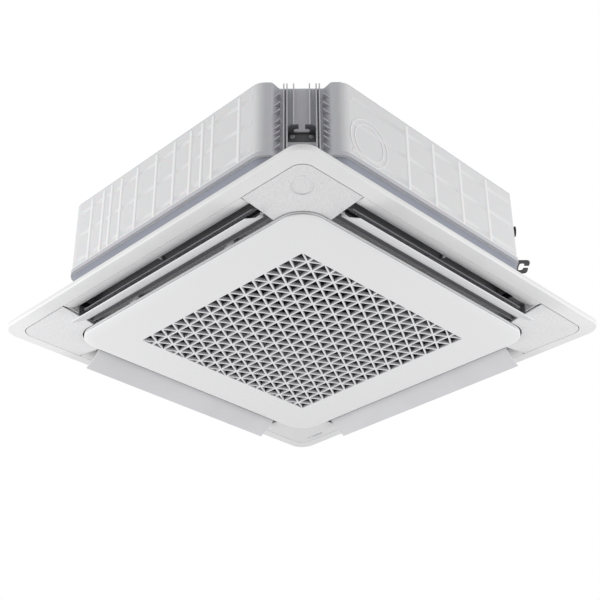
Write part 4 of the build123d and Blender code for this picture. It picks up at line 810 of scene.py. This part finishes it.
def inner_vane_mesh(turn):
    """One inner vane on its own side, a number of quarter turns from the front."""
    bm = bmesh.new()
    extruded(bm, inner_outline(rib_section), -rib_thick / 2, rib_thick / 2)
    bmesh.ops.recalc_face_normals(bm, faces=bm.faces)
    rib = mesh_of("rib", bm)
    bm.clear()
    extruded(bm, inner_outline(blade_section), -inner_half, inner_half)
    plain_half, rim = hub_half - hub_break, hub_radius - hub_break
    barrel(bm, [(-hub_half, point), (-hub_half, rim), (-plain_half, hub_radius), (plain_half, hub_radius),
                (hub_half, rim), (hub_half, point)])
    for way in (-1, 1):
        barrel(bm, [(way * pin_from, point), (way * pin_from, pin_radius),
                    (way * (pin_to - pin_break), pin_radius), (way * pin_to, pin_radius - pin_break),
                    (way * pin_to, point)])
    bmesh.ops.recalc_face_normals(bm, faces=bm.faces)
    count = 1 + 2 * round(rib_half / rib_gap)
    bm.from_mesh(from_tree("rib_row", rib_row_tree(), {
        "Half": rib_half / 1000, "Count": count, "Material": inner_vane_grey}, rib))
    shade(bm)
    bmesh.ops.rotate(bm, verts=bm.verts, matrix=Matrix.Rotation(math.pi / 2 * turn, 3, "Z"))
    return mesh_of("inner_vane", bm)


for turn, side in enumerate(sides):
    new_piece("inner_vane_ribbed_" + side, inner_vane_mesh(turn), inner_vane_grey, "inner_vane_" + side,
              "vane_grey", "second_vane_" + side)


# ---- Heat exchanger: thin plates stood along a rounded square path, in metres

coil_middle = 0.309
coil_corner = 0.079
coil_end = 0.2295
coil_low = 0.0843
coil_height = 0.1774
coil_depth = 0.038
fin_gauge = 0.0004
fin_pitch = 0.003         # real fins are 1.5 mm apart; at twice that they still read as fins


def coil_path():
    """The middle line of the fin pack, open at the pipe corner."""
    ring = [Vector(point) for point in rounded_ring(coil_middle, coil_corner, 0, 24)]
    kept = [point for point in ring if min(point.x, point.y) < coil_end]
    kept = [Vector((coil_end, coil_middle, 0))] + kept + [Vector((coil_middle, coil_end, 0))]
    mesh = bpy.data.meshes.new("coil_path")
    mesh.from_pydata(kept, [(i, i + 1) for i in range(len(kept) - 1)], [])
    return mesh


def fin_tree():
    """A thin plate across the path at every step, turned to the path's direction."""
    tree, get = new_tree("fin_pack", Pitch="Float", Gauge="Float", Depth="Float", Height="Float",
                         Low="Float", Material="Material")
    path = add(tree, "GeometryNodeMeshToCurve", {"Mesh": get["Geometry"]})
    points = add(tree, "GeometryNodeCurveToPoints", {"Curve": path, "Length": get["Pitch"]}, mode="LENGTH")
    way = add(tree, "ShaderNodeSeparateXYZ", {0: points.outputs["Tangent"]})
    angle = add(tree, "ShaderNodeMath", {0: way.outputs["Y"], 1: way.outputs["X"]}, operation="ARCTAN2")
    turn = add(tree, "ShaderNodeCombineXYZ", {"Z": angle})
    size = add(tree, "ShaderNodeCombineXYZ", {"X": get["Gauge"], "Y": get["Depth"], "Z": get["Height"]})
    plate = add(tree, "GeometryNodeMeshCube", {"Size": size})
    middle = add(tree, "ShaderNodeMath", {0: get["Height"], 1: 0.5, 2: get["Low"]},
                 operation="MULTIPLY_ADD")
    level = add(tree, "ShaderNodeCombineXYZ", {"Z": middle})
    stood = add(tree, "GeometryNodeTransform", {"Geometry": plate, "Translation": level})
    pack = add(tree, "GeometryNodeInstanceOnPoints", {"Points": points, "Instance": stood, "Rotation": turn})
    return end_tree(tree, get, add(tree, "GeometryNodeRealizeInstances", {"Geometry": pack}))


fin_pack = from_tree("fin_pack", fin_tree(), {
    "Pitch": fin_pitch, "Gauge": fin_gauge, "Depth": coil_depth, "Height": coil_height, "Low": coil_low,
    "Material": fins}, coil_path())
new_piece("fin_pack", fin_pack, fins, "unit", "aluminium_fins", "coil_fins")


# ---- Camera, light and floor

def look():
    """The photograph's camera, worked out from the panel's corners and edges."""
    camera = bpy.data.cameras.new("camera")
    camera.sensor_width = 36
    camera.lens = 72.2433
    camera.clip_end = 60
    eye = bpy.data.objects.new("camera", camera)
    eye.location = (1.649523, -1.661646, -1.305182)
    eye.rotation_euler = tuple(math.radians(angle) for angle in (120.363445, 0.287784, 45.071965))
    bpy.context.scene.collection.objects.link(eye)
    bpy.context.scene.camera = eye


lamp_size = 1.4           # metres


def softbox(name, place, aim, power):
    """A square lamp of a softbox's size, turned to what it aims at."""
    lamp = bpy.data.lights.new(name, "AREA")
    lamp.shape = "SQUARE"
    lamp.size = lamp_size
    lamp.energy = power
    holder = bpy.data.objects.new(name, lamp)
    holder.location = place
    holder.rotation_euler = (Vector(aim) - Vector(place)).to_track_quat("-Z", "Y").to_euler()
    bpy.context.scene.collection.objects.link(holder)


def studio_world():
    """Even white light all round; the camera and reflections see plain white."""
    world = bpy.data.worlds.new("studio")
    bpy.context.scene.world = world
    world.use_nodes = True
    tree = world.node_tree
    tree.nodes.clear()
    path = add(tree, "ShaderNodeLightPath").outputs
    seen = path["Is Camera Ray"]
    for ray in ("Is Glossy Ray", "Is Transmission Ray"):
        seen = add(tree, "ShaderNodeMath", {0: seen, 1: path[ray]}, operation="MAXIMUM")
    glow = add(tree, "ShaderNodeBackground", {"Color": (1, 1, 1, 1), "Strength": 0.7})
    white = add(tree, "ShaderNodeBackground", {"Color": (1, 1, 1, 1), "Strength": 1.0})
    mix = add(tree, "ShaderNodeMixShader", {0: seen, 1: glow, 2: white})
    add(tree, "ShaderNodeOutputWorld", {"Surface": mix})


floor_half = 9
floor_z = -3.2


def floor():
    """A pale studio floor, as far below the unit as a room's floor is below its ceiling."""
    mesh = bpy.data.meshes.new("studio_floor")
    square = ((-1, -1), (1, -1), (1, 1), (-1, 1))
    mesh.from_pydata([(x * floor_half, y * floor_half, floor_z) for x, y in square], [], [(0, 1, 2, 3)])
    plane = bpy.data.objects.new("studio_floor", mesh)
    bpy.context.scene.collection.objects.link(plane)
    material = bpy.data.materials.new("studio_paper")
    material.use_nodes = True
    shader = material.node_tree.nodes["Principled BSDF"]
    shader.inputs["Base Color"].default_value = linear("#E8E8E8")
    shader.inputs["Roughness"].default_value = 0.9
    mesh.materials.append(material)


look()
softbox("left_softbox", (-1.5, -1.7, -1.0), (-0.1, -0.3, 0.05), 31)
softbox("right_softbox", (1.8, 1.35, -1.0), (0.3, 0.1, 0.05), 26)
studio_world()
floor()
bpy.context.scene.view_settings.view_transform = "Standard"
